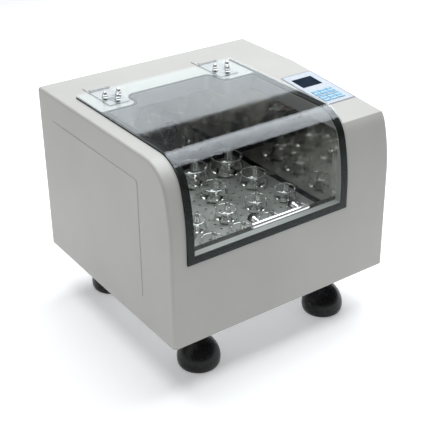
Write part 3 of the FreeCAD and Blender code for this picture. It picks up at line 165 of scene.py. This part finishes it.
# finishes: each has a broad patch of colour, a fine grain and a roughness that wanders
usualGloss = 0.5
coatRoughness = 0.25
finishes = {
    "casing_paint": {
        "dark": (0.465, 0.455, 0.43), "light": (0.50, 0.49, 0.465), "metal": 0.0,
        "rough": (0.40, 0.50), "patch": 5.0, "grain": 1100.0, "relief": 0.00001, "coat": 0.08,
    },
    "hinge_white": {
        "dark": (0.47, 0.47, 0.48), "light": (0.52, 0.52, 0.53), "metal": 0.0,
        "rough": (0.34, 0.44), "patch": 14.0, "grain": 1100.0, "relief": 0.00002, "coat": 0.15,
    },
    "pan_steel": {
        "dark": (0.42, 0.43, 0.45), "light": (0.60, 0.61, 0.62), "metal": 1.0,
        "rough": (0.35, 0.55), "patch": 30.0, "grain": 260.0, "relief": 0.00002,
    },
    "foot_rubber": {
        "dark": (0.004, 0.004, 0.0045), "light": (0.010, 0.010, 0.0105), "metal": 0.0, "gloss": 0.3,
        "rough": (0.26, 0.30), "patch": 26.0, "grain": 90.0, "relief": 0.000004,
    },
    "gasket_rubber": {
        "dark": (0.007, 0.008, 0.007), "light": (0.015, 0.0165, 0.015), "metal": 0.0, "gloss": 0.15,
        "rough": (0.5, 0.7), "patch": 40.0, "grain": 900.0, "relief": 0.00008,
    },
    "fixing_steel": {
        "dark": (0.50, 0.50, 0.50), "light": (0.66, 0.66, 0.65), "metal": 1.0,
        "rough": (0.22, 0.38), "patch": 60.0, "grain": 700.0, "relief": 0.00001,
    },
    "chrome": {
        "dark": (0.86, 0.86, 0.86), "light": (0.94, 0.94, 0.94), "metal": 0.8,
        "rough": (0.07, 0.14), "patch": 45.0, "grain": 600.0, "relief": 0.000003,
    },
    "black_plastic": {
        "dark": (0.012, 0.012, 0.013), "light": (0.026, 0.026, 0.027), "metal": 0.0,
        "rough": (0.38, 0.5), "patch": 50.0, "grain": 1300.0, "relief": 0.00003,
    },
    "guard_wire": {
        "dark": (0.74, 0.74, 0.74), "light": (0.86, 0.86, 0.86), "metal": 0.6,
        "rough": (0.14, 0.28), "patch": 60.0, "grain": 900.0, "relief": 0.000005,
    },
    "heater_sheath": {
        "dark": (0.16, 0.12, 0.10), "light": (0.38, 0.33, 0.29), "metal": 1.0,
        "rough": (0.3, 0.5), "patch": 34.0, "grain": 500.0, "relief": 0.00002,
    },
    "probe_white": {
        "dark": (0.62, 0.62, 0.58), "light": (0.76, 0.76, 0.73), "metal": 0.0,
        "rough": (0.3, 0.42), "patch": 70.0, "grain": 900.0, "relief": 0.00001,
    },
    "probe_brown": {
        "dark": (0.26, 0.17, 0.14), "light": (0.38, 0.27, 0.23), "metal": 0.0,
        "rough": (0.3, 0.42), "patch": 70.0, "grain": 900.0, "relief": 0.00001,
    },
    "cast_aluminium": {
        "dark": (0.52, 0.52, 0.53), "light": (0.68, 0.68, 0.69), "metal": 1.0,
        "rough": (0.34, 0.5), "patch": 30.0, "grain": 380.0, "relief": 0.00005,
    },
    "bearing_steel": {
        "dark": (0.56, 0.56, 0.58), "light": (0.70, 0.70, 0.72), "metal": 1.0,
        "rough": (0.12, 0.22), "patch": 55.0, "grain": 700.0, "relief": 0.000004,
    },
    # black enamel for the motor; the carriage plate under the tray takes it too, so the tray's holes read
    # dark: painted shade
    "motor_paint": {
        "dark": (0.018, 0.018, 0.02), "light": (0.04, 0.04, 0.043), "metal": 0.0,
        "rough": (0.3, 0.42), "patch": 35.0, "grain": 600.0, "relief": 0.00004, "coat": 0.2,
    },
    "clamp_steel": {
        "dark": (0.78, 0.78, 0.76), "light": (0.92, 0.92, 0.89), "metal": 0.85,
        "rough": (0.10, 0.20), "patch": 60.0, "grain": 500.0, "relief": 0.00001,
    },
    "board_green": {
        "dark": (0.01, 0.09, 0.04), "light": (0.02, 0.15, 0.07), "metal": 0.0,
        "rough": (0.25, 0.4), "patch": 90.0, "grain": 500.0, "relief": 0.00004,
    },
    "supply_metal": {
        "dark": (0.46, 0.46, 0.47), "light": (0.58, 0.58, 0.59), "metal": 1.0,
        "rough": (0.36, 0.5), "patch": 25.0, "grain": 400.0, "relief": 0.00002,
    },
}


def makeFinish(name, recipe):
    material, tree, shader = newMaterial(name)
    point = objectPoint(tree)
    patch = noise(tree, point, recipe["patch"])
    grain = noise(tree, point, recipe["grain"], 2.0)
    tree.links.new(shade(tree, patch, recipe["dark"], recipe["light"]), shader.inputs["Base Color"])
    tree.links.new(spread(tree, grain, *recipe["rough"]), shader.inputs["Roughness"])
    shader.inputs["Metallic"].default_value = recipe["metal"]
    shader.inputs["Coat Weight"].default_value = recipe.get("coat", 0.0)
    shader.inputs["Coat Roughness"].default_value = coatRoughness
    shader.inputs["Specular IOR Level"].default_value = recipe.get("gloss", usualGloss)
    setRelief(tree, shader, grain, recipe["relief"])
    return material


# polished stainless sheet: a warm mirror with faint rolling lines and smears, and a satin collar at the mouth
linerSheet = {
    "dark": (0.60, 0.57, 0.53), "light": (0.74, 0.71, 0.67), "rough": (0.04, 0.12),
    "collar": (0.36, 0.36, 0.345), "collarMetal": 0.3, "collarDepth": 0.015, "collarRise": 0.0345,
    "collarRough": 0.35, "smearScale": 9.0, "lines": (2.0, 2.0, 160.0), "lineScale": 6.0, "relief": 0.00001,
}


def makeLinerSheet():
    material, tree, shader = newMaterial("liner_steel")
    point = objectPoint(tree)
    smears = noise(tree, point, linerSheet["smearScale"], 4.0, 0.6)
    lines = noise(tree, objectPoint(tree, linerSheet["lines"]), linerSheet["lineScale"])
    mirror = shade(tree, smears, linerSheet["dark"], linerSheet["light"])
    # the collar is what stands in front of the room or above it
    low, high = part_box("chamber_liner")
    axes = splitAxes(tree, point)
    inFront = calculate(tree, "LESS_THAN", axes["Y"], low.y + linerSheet["collarDepth"])
    above = calculate(tree, "GREATER_THAN", axes["Z"], high.z - linerSheet["collarRise"])
    collar = calculate(tree, "MAXIMUM", inFront, above)
    tree.links.new(blendColours(tree, collar, mirror, linerSheet["collar"]), shader.inputs["Base Color"])
    satin = calculate(tree, "MULTIPLY", collar, linerSheet["collarRough"])
    rough = calculate(tree, "ADD", spread(tree, lines, *linerSheet["rough"]), satin)
    tree.links.new(rough, shader.inputs["Roughness"])
    dulled = calculate(tree, "MULTIPLY", collar, 1 - linerSheet["collarMetal"])
    metal = calculate(tree, "SUBTRACT", 1.0, dulled)
    tree.links.new(metal, shader.inputs["Metallic"])
    setRelief(tree, shader, lines, linerSheet["relief"])
    return material


# matt stainless tray: blotchy grey with scuffs from flasks
traySheet = {
    "dark": (0.26, 0.26, 0.245), "light": (0.42, 0.42, 0.40), "rough": (0.30, 0.44),
    "metal": 0.35, "blotchScale": 16.0, "scuffScale": 55.0, "scuffs": (1, 6, 1), "scuffShade": (0.75, 1.25),
    "relief": 0.00001,
}


def makeTraySheet():
    material, tree, shader = newMaterial("tray_steel")
    point = objectPoint(tree)
    blotches = noise(tree, point, traySheet["blotchScale"], 4.0, 0.4)
    scuffs = noise(tree, objectPoint(tree, traySheet["scuffs"]), traySheet["scuffScale"], 5.0, 1.2)
    both = calculate(tree, "MULTIPLY", blotches, spread(tree, scuffs, *traySheet["scuffShade"]))
    tree.links.new(shade(tree, both, traySheet["dark"], traySheet["light"]), shader.inputs["Base Color"])
    tree.links.new(spread(tree, scuffs, *traySheet["rough"]), shader.inputs["Roughness"])
    shader.inputs["Metallic"].default_value = traySheet["metal"]
    setRelief(tree, shader, scuffs, traySheet["relief"])
    return material


# clear sheet: see-through, with a gloss that grows at a slant and a thin film of dust and wipe marks,
# which is heaviest on top and thins out down the front
clearSheet = {
    "tint": (0.965, 0.98, 0.975), "gloss": (0.93, 0.96, 1.0), "squareOn": 0.012,
    "slant": 0.27, "slantPower": 2.0, "rough": (0.01, 0.05),
    "wipeScale": 26.0, "wipeStretch": (1, 2.5, 2.5), "wipes": (0.0, 0.012),
    # the film's share left on the front, and how far under the top it starts and stops thinning
    "front": 0.22, "fadeFrom": 0.020, "fadeTo": 0.050,
}


def makeClearSheet():
    material, tree, shader = newMaterial("lid_acrylic")
    wipes = noise(tree, objectPoint(tree, clearSheet["wipeStretch"]), clearSheet["wipeScale"], 5.0, 1.5)
    shader.inputs["Base Color"].default_value = (*clearSheet["gloss"], 1)
    shader.inputs["Metallic"].default_value = 1.0
    tree.links.new(spread(tree, wipes, *clearSheet["rough"]), shader.inputs["Roughness"])
    seeThrough = tree.nodes.new("ShaderNodeBsdfTransparent")
    seeThrough.inputs["Color"].default_value = (*clearSheet["tint"], 1)
    slant = tree.nodes.new("ShaderNodeLayerWeight")
    slant.inputs["Blend"].default_value = 0.5
    steep = calculate(tree, "POWER", slant.outputs["Facing"], clearSheet["slantPower"])
    steepGloss = calculate(tree, "MULTIPLY", steep, clearSheet["slant"])
    gloss = calculate(tree, "ADD", steepGloss, clearSheet["squareOn"])
    film = calculate(tree, "ADD", gloss, spread(tree, wipes, *clearSheet["wipes"]))
    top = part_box("lid_panel")[1].z
    fadeRange = (top - clearSheet["fadeTo"], top - clearSheet["fadeFrom"])
    fade = spread(tree, splitAxes(tree, objectPoint(tree))["Z"], clearSheet["front"], 1.0, fadeRange)
    share = calculate(tree, "MULTIPLY", film, fade)
    mix = tree.nodes.new("ShaderNodeMixShader")
    tree.links.new(share, mix.inputs["Fac"])
    tree.links.new(seeThrough.outputs["BSDF"], mix.inputs[1])
    tree.links.new(shader.outputs["BSDF"], mix.inputs[2])
    tree.links.new(mix.outputs["Shader"], tree.nodes["Material Output"].inputs["Surface"])
    return material


# printed film: a pale field with a thin dark line round it and a faint weave under the gloss
printedFilm = {
    "field": (0.50, 0.54, 0.59), "fieldLight": (0.56, 0.60, 0.65), "line": (0.06, 0.07, 0.12),
    "margin": 0.0015, "lineWidth": 0.0016, "weaveScale": 240.0, "rough": (0.26, 0.36), "relief": 0.00001,
}


def makePrintedFilm():
    material, tree, shader = newMaterial("control_film")
    low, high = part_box("control_plate")
    middle, half = (low + high) / 2, (high - low) / 2
    point = objectPoint(tree, shift=tuple(-middle))
    axes = splitAxes(tree, point)
    across = calculate(tree, "ABSOLUTE", axes["X"])
    along = calculate(tree, "ABSOLUTE", axes["Y"])
    # distance in from the nearer edge
    fromSide = calculate(tree, "SUBTRACT", half.x, across)
    fromEnd = calculate(tree, "SUBTRACT", half.y, along)
    inward = calculate(tree, "MINIMUM", fromSide, fromEnd)
    offLine = calculate(tree, "ABSOLUTE", calculate(tree, "SUBTRACT", inward, printedFilm["margin"]))
    onLine = calculate(tree, "LESS_THAN", offLine, printedFilm["lineWidth"] / 2)
    weave = noise(tree, point, printedFilm["weaveScale"])
    field = shade(tree, weave, printedFilm["field"], printedFilm["fieldLight"])
    colour = blendColours(tree, onLine, field, printedFilm["line"])
    tree.links.new(colour, shader.inputs["Base Color"])
    tree.links.new(spread(tree, weave, *printedFilm["rough"]), shader.inputs["Roughness"])
    setRelief(tree, shader, weave, printedFilm["relief"])
    return material


# keys: sky blue with two pale bars across each cap
keyFilm = {
    "blue": (0.20, 0.44, 0.62), "deep": (0.16, 0.38, 0.56), "bar": (0.55, 0.66, 0.74), "bars": 26.0,
    "barEdge": 0.8, "wearScale": 160.0, "rough": (0.22, 0.34), "relief": 0.00002,
}


def makeKeyFilm():
    material, tree, shader = newMaterial("key_film")
    point = objectPoint(tree)
    wave = tree.nodes.new("ShaderNodeTexWave")
    wave.bands_direction = "Y"
    wave.inputs["Scale"].default_value = keyFilm["bars"]
    tree.links.new(point, wave.inputs["Vector"])
    bars = calculate(tree, "GREATER_THAN", wave.outputs["Fac"], keyFilm["barEdge"])
    wear = noise(tree, point, keyFilm["wearScale"])
    blue = shade(tree, wear, keyFilm["deep"], keyFilm["blue"])
    tree.links.new(blendColours(tree, bars, blue, keyFilm["bar"]), shader.inputs["Base Color"])
    tree.links.new(spread(tree, wear, *keyFilm["rough"]), shader.inputs["Roughness"])
    setRelief(tree, shader, wear, keyFilm["relief"])
    return material


# display: near-black navy behind a gloss window, with the cell grid just visible
displayWindow = {
    "navy": (0.004, 0.012, 0.026), "cell": (0.006, 0.018, 0.038), "cellSize": 0.004, "joint": 0.08,
    "smudgeScale": 60.0, "rough": (0.12, 0.22), "gloss": 0.3,
}


def makeDisplayWindow():
    material, tree, shader = newMaterial("display_film")
    cells = tree.nodes.new("ShaderNodeTexBrick")
    cells.inputs["Scale"].default_value = 1 / displayWindow["cellSize"]
    for socket, colour in (("Color1", "cell"), ("Color2", "cell"), ("Mortar", "navy")):
        cells.inputs[socket].default_value = (*displayWindow[colour], 1)
    cells.inputs["Mortar Size"].default_value = displayWindow["joint"]
    point = objectPoint(tree)
    tree.links.new(point, cells.inputs["Vector"])
    tree.links.new(cells.outputs["Color"], shader.inputs["Base Color"])
    smudge = noise(tree, point, displayWindow["smudgeScale"])
    tree.links.new(spread(tree, smudge, *displayWindow["rough"]), shader.inputs["Roughness"])
    shader.inputs["Specular IOR Level"].default_value = displayWindow["gloss"]
    return material


# glass wool: yellow, matt and fibrous
glassWool = {
    "dark": (0.42, 0.33, 0.14), "light": (0.72, 0.62, 0.34), "fibres": (3.0, 60.0, 60.0), "fibreScale": 12.0,
    "rough": (0.8, 0.95), "sheen": 0.4, "relief": 0.002,
}


def makeGlassWool():
    material, tree, shader = newMaterial("insulation_wool")
    fibres = noise(tree, objectPoint(tree, glassWool["fibres"]), glassWool["fibreScale"], 6.0, 2.0)
    tree.links.new(shade(tree, fibres, glassWool["dark"], glassWool["light"]), shader.inputs["Base Color"])
    tree.links.new(spread(tree, fibres, *glassWool["rough"]), shader.inputs["Roughness"])
    shader.inputs["Sheen Weight"].default_value = glassWool["sheen"]
    setRelief(tree, shader, fibres, glassWool["relief"])
    return material


materials = {name: makeFinish(name, recipe) for name, recipe in finishes.items()}
special = {
    "liner_steel": makeLinerSheet, "tray_steel": makeTraySheet, "lid_acrylic": makeClearSheet,
    "control_film": makePrintedFilm, "key_film": makeKeyFilm, "display_film": makeDisplayWindow,
    "insulation_wool": makeGlassWool,
}
materials.update({slot: makeSheet() for slot, makeSheet in special.items()})
slotOfNode = {part["node"]: part["material_slot"] for part in frame["record"]["subparts"]}
for nodeName, node in nodes.items():
    node.data.materials.clear()
    node.data.materials.append(materials[slotOfNode[nodeName]])
print("finishes made:", len(materials))


# mesh helpers
def finishPiece(name, shape, slot, body, replaced, smoothUnder=40):
    # turns a bmesh into a piece that rides on a body and stands for the nodes it replaces
    bmesh.ops.recalc_face_normals(shape, faces=shape.faces)
    mesh = bpy.data.meshes.new(name)
    shape.to_mesh(mesh)
    shape.free()
    mesh.materials.append(materials[slot])
    mesh.shade_smooth()
    mesh.set_sharp_from_angle(angle=math.radians(smoothUnder))
    piece = bpy.data.objects.new(name, mesh)
    scene.collection.objects.link(piece)
    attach(piece, body)
    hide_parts(*replaced)
    return piece


def solidBoxes(nodeName):
    # the box round each separate solid of a node, in the order met
    solid = bmesh.new()
    solid.from_mesh(nodes[nodeName].data)
    bmesh.ops.remove_doubles(solid, verts=solid.verts, dist=mergeDistance / 2)
    left = set(solid.verts)
    boxes = []
    for seed in solid.verts:
        if seed not in left:
            continue
        left.remove(seed)
        waiting, found = [seed], []
        while waiting:
            vertex = waiting.pop()
            found.append(vertex.co.copy())
            for edge in vertex.link_edges:
                other = edge.other_vert(vertex)
                if other in left:
                    left.remove(other)
                    waiting.append(other)
        low = Vector([min(co[i] for co in found) for i in range(3)])
        high = Vector([max(co[i] for co in found) for i in range(3)])
        boxes.append((low, high))
    solid.free()
    return boxes


# the turns that lay a lathed shape along another axis
axisTurns = {"X": Matrix.Rotation(math.pi / 2, 3, "Y"), "Y": Matrix.Rotation(-math.pi / 2, 3, "X")}


def lathe(shape, profile, centre, steps, axis="Z"):
    # spins (radius, distance along the axis) points into a closed skin
    already = set(shape.verts)
    verts = [shape.verts.new((radius, 0, along)) for radius, along in profile]
    edges = [shape.edges.new(pair) for pair in zip(verts, verts[1:])]
    bmesh.ops.spin(
        shape, geom=verts + edges, cent=(0, 0, 0), axis=(0, 0, 1), dvec=(0, 0, 0),
        angle=math.tau, steps=steps, use_merge=True, use_duplicate=False,
    )
    grown = [vert for vert in shape.verts if vert not in already]
    bmesh.ops.remove_doubles(shape, verts=grown, dist=mergeDistance)
    grown = [vert for vert in shape.verts if vert not in already]
    if axis in axisTurns:
        bmesh.ops.rotate(shape, verts=grown, cent=(0, 0, 0), matrix=axisTurns[axis])
    bmesh.ops.translate(shape, verts=grown, vec=centre)
    return grown


def hoop(shape, centre, radius, wire, steps, sides, axis="Z"):
    # a closed wire ring
    profile = []
    for i in range(sides + 1):
        angle = math.tau * i / sides
        profile.append((radius + wire * math.cos(angle), wire * math.sin(angle)))
    return lathe(shape, profile, centre, steps, axis)


# feet
footShape = {
    "steps": 32, "reach": 0.051,
    # radius and height of the bell, from the middle of its underside up to the neck
    "profile": (
        (0.0, 0.003), (0.030, 0.003), (0.034, 0.0), (0.044, 0.0), (0.0475, 0.0025), (0.0485, 0.006),
        (0.0500, 0.0085), (0.0509, 0.016), (0.0508, 0.024), (0.0492, 0.033), (0.0440, 0.046),
        (0.0360, 0.058), (0.0285, 0.067), (0.0250, 0.072), (0.0240, 0.078), (0.0105, 0.078),
    ),
}


def makeFeet():
    low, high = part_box("foot_pads")
    reach = footShape["reach"]
    shape = bmesh.new()
    for x in (low.x + reach, high.x - reach):
        for y in (low.y + reach, high.y - reach):
            lathe(shape, footShape["profile"], Vector((x, y, low.z)), footShape["steps"])
    feet = finishPiece("rubberFeet", shape, "foot_rubber", "casing", ["foot_pads"], 60)
    smooth = feet.modifiers.new("smooth", "SUBSURF")
    smooth.levels = 1
    smooth.render_levels = 1


makeFeet()
print("feet made")


# flask clamps
clampShape = {
    "wire": 0.0014, "sheet": 0.0011, "arms": 4, "ringSteps": 48, "ringSides": 10,
    # shares of the ring's radius
    "seat": 0.5, "armWidth": 0.78, "neckWidth": 0.5,
    # where up its height an arm starts to narrow, and over how much of it
    "taperStart": 0.3, "taperLength": 0.4,
    # an arm's outer face, as shares of the ring's radius and of the clamp's height
    "arm": (
        (0.40, 0.00), (0.66, 0.00), (0.86, 0.03), (0.98, 0.12), (1.03, 0.26), (1.01, 0.42),
        (0.94, 0.58), (0.885, 0.72), (0.885, 0.82), (0.93, 0.90),
    ),
    "lip": ((0.955, 0.955), (0.94, 1.0), (0.905, 0.985)),
}
# the head's edge and top edge are shares of its radius and rise
clampScrew = {
    "radius": 0.0042, "rise": 0.0026, "socket": 0.0021, "steps": 12,
    "edgeRise": 0.55, "crown": 0.82, "crownRise": 0.9, "socketRise": 0.45,
}


def armStrip(shape, ringRadius, height, width):
    # one bent arm along +X, before it is turned to its own side
    path = clampShape["arm"] + clampShape["lip"]
    neck = clampShape["neckWidth"] / clampShape["armWidth"]
    rows = []
    for share, rise in path:
        taper = (rise - clampShape["taperStart"]) / clampShape["taperLength"]
        half = width / 2 * (1 - (1 - neck) * min(1, max(0, taper)))
        ends = [(share * ringRadius, side * half, rise * height) for side in (-1, 1)]
        rows.append([shape.verts.new(end) for end in ends])
    for below, above in zip(rows, rows[1:]):
        shape.faces.new((below[0], below[1], above[1], above[0]))
    return [vert for row in rows for vert in row]


def makeClamp(shape, centre, ringRadius, height):
    width, arms = clampShape["armWidth"] * ringRadius, clampShape["arms"]
    verts = []
    for i in range(arms):
        arm = armStrip(shape, ringRadius, height, width)
        turn = Matrix.Rotation(math.tau * (i + 0.5) / arms, 3, "Z")
        bmesh.ops.rotate(shape, verts=arm, cent=(0, 0, 0), matrix=turn)
        verts += arm
    seat = clampShape["seat"] * ringRadius
    plate = bmesh.ops.create_grid(shape, x_segments=4, y_segments=4, size=seat)["verts"]
    bmesh.ops.rotate(shape, verts=plate, cent=(0, 0, 0), matrix=Matrix.Rotation(math.tau / arms / 2, 3, "Z"))
    verts += plate
    bmesh.ops.translate(shape, verts=verts, vec=centre)


def makeClampScrew(shape, centre):
    radius, rise, socket = clampScrew["radius"], clampScrew["rise"], clampScrew["socket"]
    bottom = rise * clampScrew["socketRise"]
    profile = (
        (0, 0), (radius, 0), (radius, rise * clampScrew["edgeRise"]),
        (radius * clampScrew["crown"], rise * clampScrew["crownRise"]),
        (socket, rise), (socket, bottom), (0, bottom),
    )
    lathe(shape, profile, centre, clampScrew["steps"])


def makeClamps():
    springs, rings, screws = bmesh.new(), bmesh.new(), bmesh.new()
    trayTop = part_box("platform_tray")[1].z
    wireRadius = clampShape["wire"]
    for low, high in solidBoxes("clamp_rings"):
        middle = (low + high) / 2
        ringRadius = (high.x - low.x) / 2 - wireRadius
        foot = Vector((middle.x, middle.y, trayTop))
        height = high.z - trayTop + wireRadius
        makeClamp(springs, foot, ringRadius, height)
        hoop(rings, middle, ringRadius, wireRadius, clampShape["ringSteps"], clampShape["ringSides"])
        makeClampScrew(screws, foot + Vector((0, 0, clampShape["sheet"])))
    pieces = finishPiece("clampSprings", springs, "clamp_steel", "platform",
                         ["small_clamps", "medium_clamps", "large_clamps"])
    sheetMetal = pieces.modifiers.new("sheet", "SOLIDIFY")
    sheetMetal.thickness = clampShape["sheet"]
    sheetMetal.offset = 1
    finishPiece("clampHoops", rings, "chrome", "platform", ["clamp_rings"], 60)
    finishPiece("clampScrewHeads", screws, "fixing_steel", "platform", ["clamp_screws"])


makeClamps()
print("clamps made")


# lid furniture
capNut = {
    "collar": 0.0072, "collarRise": 0.0008, "flare": 1.12, "flareRise": 0.0014,
    "hexRise": 0.006, "neck": 0.0052, "neckRise": 0.0004, "domeRise": 0.001, "domeSteps": 6, "steps": 24,
}


def makeCapNuts():
    # acorn nuts: a turned collar below, a drum in the middle and a dome above
    shape = bmesh.new()
    collar, neck, hexRise = capNut["collar"], capNut["neck"], capNut["hexRise"]
    flare, domeFoot = neck * capNut["flare"], hexRise + capNut["domeRise"]
    for low, high in solidBoxes("hinge_cap_nuts"):
        middle = (low + high) / 2
        rise = high.z - low.z
        profile = [(0, 0), (collar, 0), (collar, capNut["collarRise"]), (flare, capNut["flareRise"])]
        profile += [(flare, hexRise), (neck, hexRise + capNut["neckRise"])]
        for i in range(capNut["domeSteps"]):
            angle = math.pi / 2 * i / capNut["domeSteps"]
            profile.append((neck * math.cos(angle), domeFoot + (rise - domeFoot) * math.sin(angle)))
        profile.append((0, rise))
        lathe(shape, profile, Vector((middle.x, middle.y, low.z)), capNut["steps"])
    finishPiece("acornNuts", shape, "chrome", "lid", ["hinge_cap_nuts"])


grabHandle = {
    "ease": 0.0014, "easeShare": 0.3, "barSteps": 32, "postSteps": 24,
    # a post's radius, and how far along it that is reached, as a share of its length
    "post": ((0.0046, 0), (0.0046, 0.72), (0.0058, 0.8), (0.0064, 0.86), (0.0064, 1), (0, 1)),
}


def makeHandle():
    # a polished bar with eased ends, on two turned posts
    low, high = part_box("handle_bar")
    barRadius = (high.z - low.z) / 2
    middleZ, barY = (low.z + high.z) / 2, low.y + barRadius
    length, ease = high.x - low.x, grabHandle["ease"]
    part = ease * grabHandle["easeShare"]
    shape = bmesh.new()
    nearEnd = [(0, 0), (barRadius - ease, 0), (barRadius - part, part), (barRadius, ease)]
    farEnd = [(radius, length - along) for radius, along in reversed(nearEnd)]
    lathe(shape, nearEnd + farEnd, Vector((low.x, barY, middleZ)), grabHandle["barSteps"], "X")
    postReach = high.y - barY
    for washerLow, washerHigh in solidBoxes("handle_washers"):
        x = (washerLow.x + washerHigh.x) / 2
        post = [(radius, postReach * share) for radius, share in grabHandle["post"]]
        lathe(shape, post, Vector((x, barY, middleZ)), grabHandle["postSteps"], "Y")
    finishPiece("grabBar", shape, "chrome", "lid", ["handle_bar"])


makeCapNuts()
makeHandle()
print("lid furniture made")


# fan
fanBlades = {
    "blades": 7, "pitch": 38, "twist": 20, "chord": 0.85, "lean": 0.006, "wall": 0.0012, "hubSteps": 36,
    # the hub's share of the reach, and the share of the hub at which the blades begin
    "hub": 0.39, "root": 0.9,
    # the hub's cap: shares of its radius and of the fan's depth
    "cap": ((0, 0), (0.8, 0), (0.96, 0.06), (1, 0.16), (1, 1), (0, 1)),
}
fanGrille = {"wire": 0.0009, "rings": 9, "ringSteps": 64, "wireSides": 6, "spokes": 4, "spokeSteps": 8}


def makeImpeller():
    low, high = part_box("fan_impeller")
    centre, reach = (low + high) / 2, (high.z - low.z) / 2
    hub, depth = reach * fanBlades["hub"], high.y - low.y
    root = hub * fanBlades["root"]
    shape = bmesh.new()
    cap = [(hub * across, depth * along) for across, along in fanBlades["cap"]]
    lathe(shape, cap, Vector((centre.x, low.y, centre.z)), fanBlades["hubSteps"], "Y")
    for i in range(fanBlades["blades"]):
        blade = bmesh.ops.create_grid(shape, x_segments=8, y_segments=4, size=0.5)["verts"]
        for vert in blade:
            share = vert.co.x + 0.5
            pitch = math.radians(fanBlades["pitch"] + fanBlades["twist"] * (1 - share))
            chord = vert.co.y * depth * fanBlades["chord"]
            lean = fanBlades["lean"] * share ** 2
            radius = root + (reach - root) * share
            vert.co = (radius, chord * math.sin(pitch), chord * math.cos(pitch) + lean)
        turn = Matrix.Rotation(math.tau * i / fanBlades["blades"], 3, "Y")
        bmesh.ops.rotate(shape, verts=blade, cent=(0, 0, 0), matrix=turn)
        bmesh.ops.translate(shape, verts=blade, vec=centre)
    impeller = finishPiece("fanBlades", shape, "black_plastic", "fan", ["fan_impeller"])
    wall = impeller.modifiers.new("wall", "SOLIDIFY")
    wall.thickness = fanBlades["wall"]
    wall.offset = 0


def makeGuard():
    low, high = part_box("fan_guard")
    centre, reach = (low + high) / 2, (high.x - low.x) / 2
    wire, rings, spokes = fanGrille["wire"], fanGrille["rings"], fanGrille["spokes"]
    front = low.y + wire
    middle = Vector((centre.x, front, centre.z))
    rod = ((0, -reach), (wire, -reach), (wire, reach), (0, reach))
    shape = bmesh.new()
    for i in range(rings):
        radius = (reach - wire) * (i + 1) / rings
        hoop(shape, middle, radius, wire, fanGrille["ringSteps"], fanGrille["wireSides"], "Y")
    for i in range(spokes):
        angle = math.tau * (i + 0.5) / spokes / 2
        spoke = lathe(shape, rod, Vector(), fanGrille["spokeSteps"])
        bmesh.ops.rotate(shape, verts=spoke, cent=(0, 0, 0), matrix=Matrix.Rotation(angle, 3, "Y"))
        bmesh.ops.translate(shape, verts=spoke, vec=(centre.x, front + wire, centre.z))
    finishPiece("fanGrille", shape, "guard_wire", "casing", ["fan_guard"])


makeImpeller()
makeGuard()
print("fan made")


# stage and light
studio = {
    "floorSize": 70.0, "floor": (0.90, 0.90, 0.90), "floorRough": 0.9, "floorGlow": 0.34,
    "sky": (0.92, 0.95, 1.0), "skyStrength": 0.08,
}
# each soft box: where it hangs, what it faces, its width, height, power in watts and colour
softBoxes = {
    "overhead": {
        "place": (0.9, 0.3, 3.05), "aim": (0.9, 0.3, 0.0), "size": (4.4, 3.0), "power": 172,
        "colour": (0.94, 0.97, 1.0),
    },
    "backCard": {
        "place": (2.2, 3.0, 1.82), "aim": (2.2, 0.0, 1.82), "size": (3.6, 0.64), "power": 12.5,
        "colour": (0.95, 0.98, 1.0),
    },
    "sideFill": {
        "place": (-3.4, 0.2, 1.4), "aim": (0, 0, 0.3), "size": (2.4, 1.8), "power": 9,
        "colour": (1.0, 0.99, 0.97),
    },
}


def addFloor():
    shape = bmesh.new()
    bmesh.ops.create_grid(shape, x_segments=1, y_segments=1, size=studio["floorSize"] / 2)
    mesh = bpy.data.meshes.new("studioFloor")
    shape.to_mesh(mesh)
    shape.free()
    material, _, shader = newMaterial("studioFloor")
    shader.inputs["Base Color"].default_value = (*studio["floor"], 1)
    shader.inputs["Roughness"].default_value = studio["floorRough"]
    shader.inputs["Emission Color"].default_value = (1, 1, 1, 1)
    shader.inputs["Emission Strength"].default_value = studio["floorGlow"]
    mesh.materials.append(material)
    floor = bpy.data.objects.new("studioFloor", mesh)
    scene.collection.objects.link(floor)


def addLights():
    world = bpy.data.worlds.new("studioSky")
    world.use_nodes = True
    sky = world.node_tree.nodes["Background"]
    sky.inputs["Color"].default_value = (*studio["sky"], 1)
    sky.inputs["Strength"].default_value = studio["skyStrength"]
    scene.world = world
    for name, box in softBoxes.items():
        lamp = bpy.data.lights.new(name, "AREA")
        lamp.shape = "RECTANGLE"
        lamp.size, lamp.size_y = box["size"]
        lamp.energy = box["power"]
        lamp.color = box["colour"]
        light = bpy.data.objects.new(name, lamp)
        light.location = box["place"]
        aim = Vector(box["aim"]) - Vector(box["place"])
        light.rotation_euler = aim.to_track_quat("-Z", "Y").to_euler()
        scene.collection.objects.link(light)
    scene.view_settings.view_transform = "Standard"


addFloor()
addLights()
print("studio made")
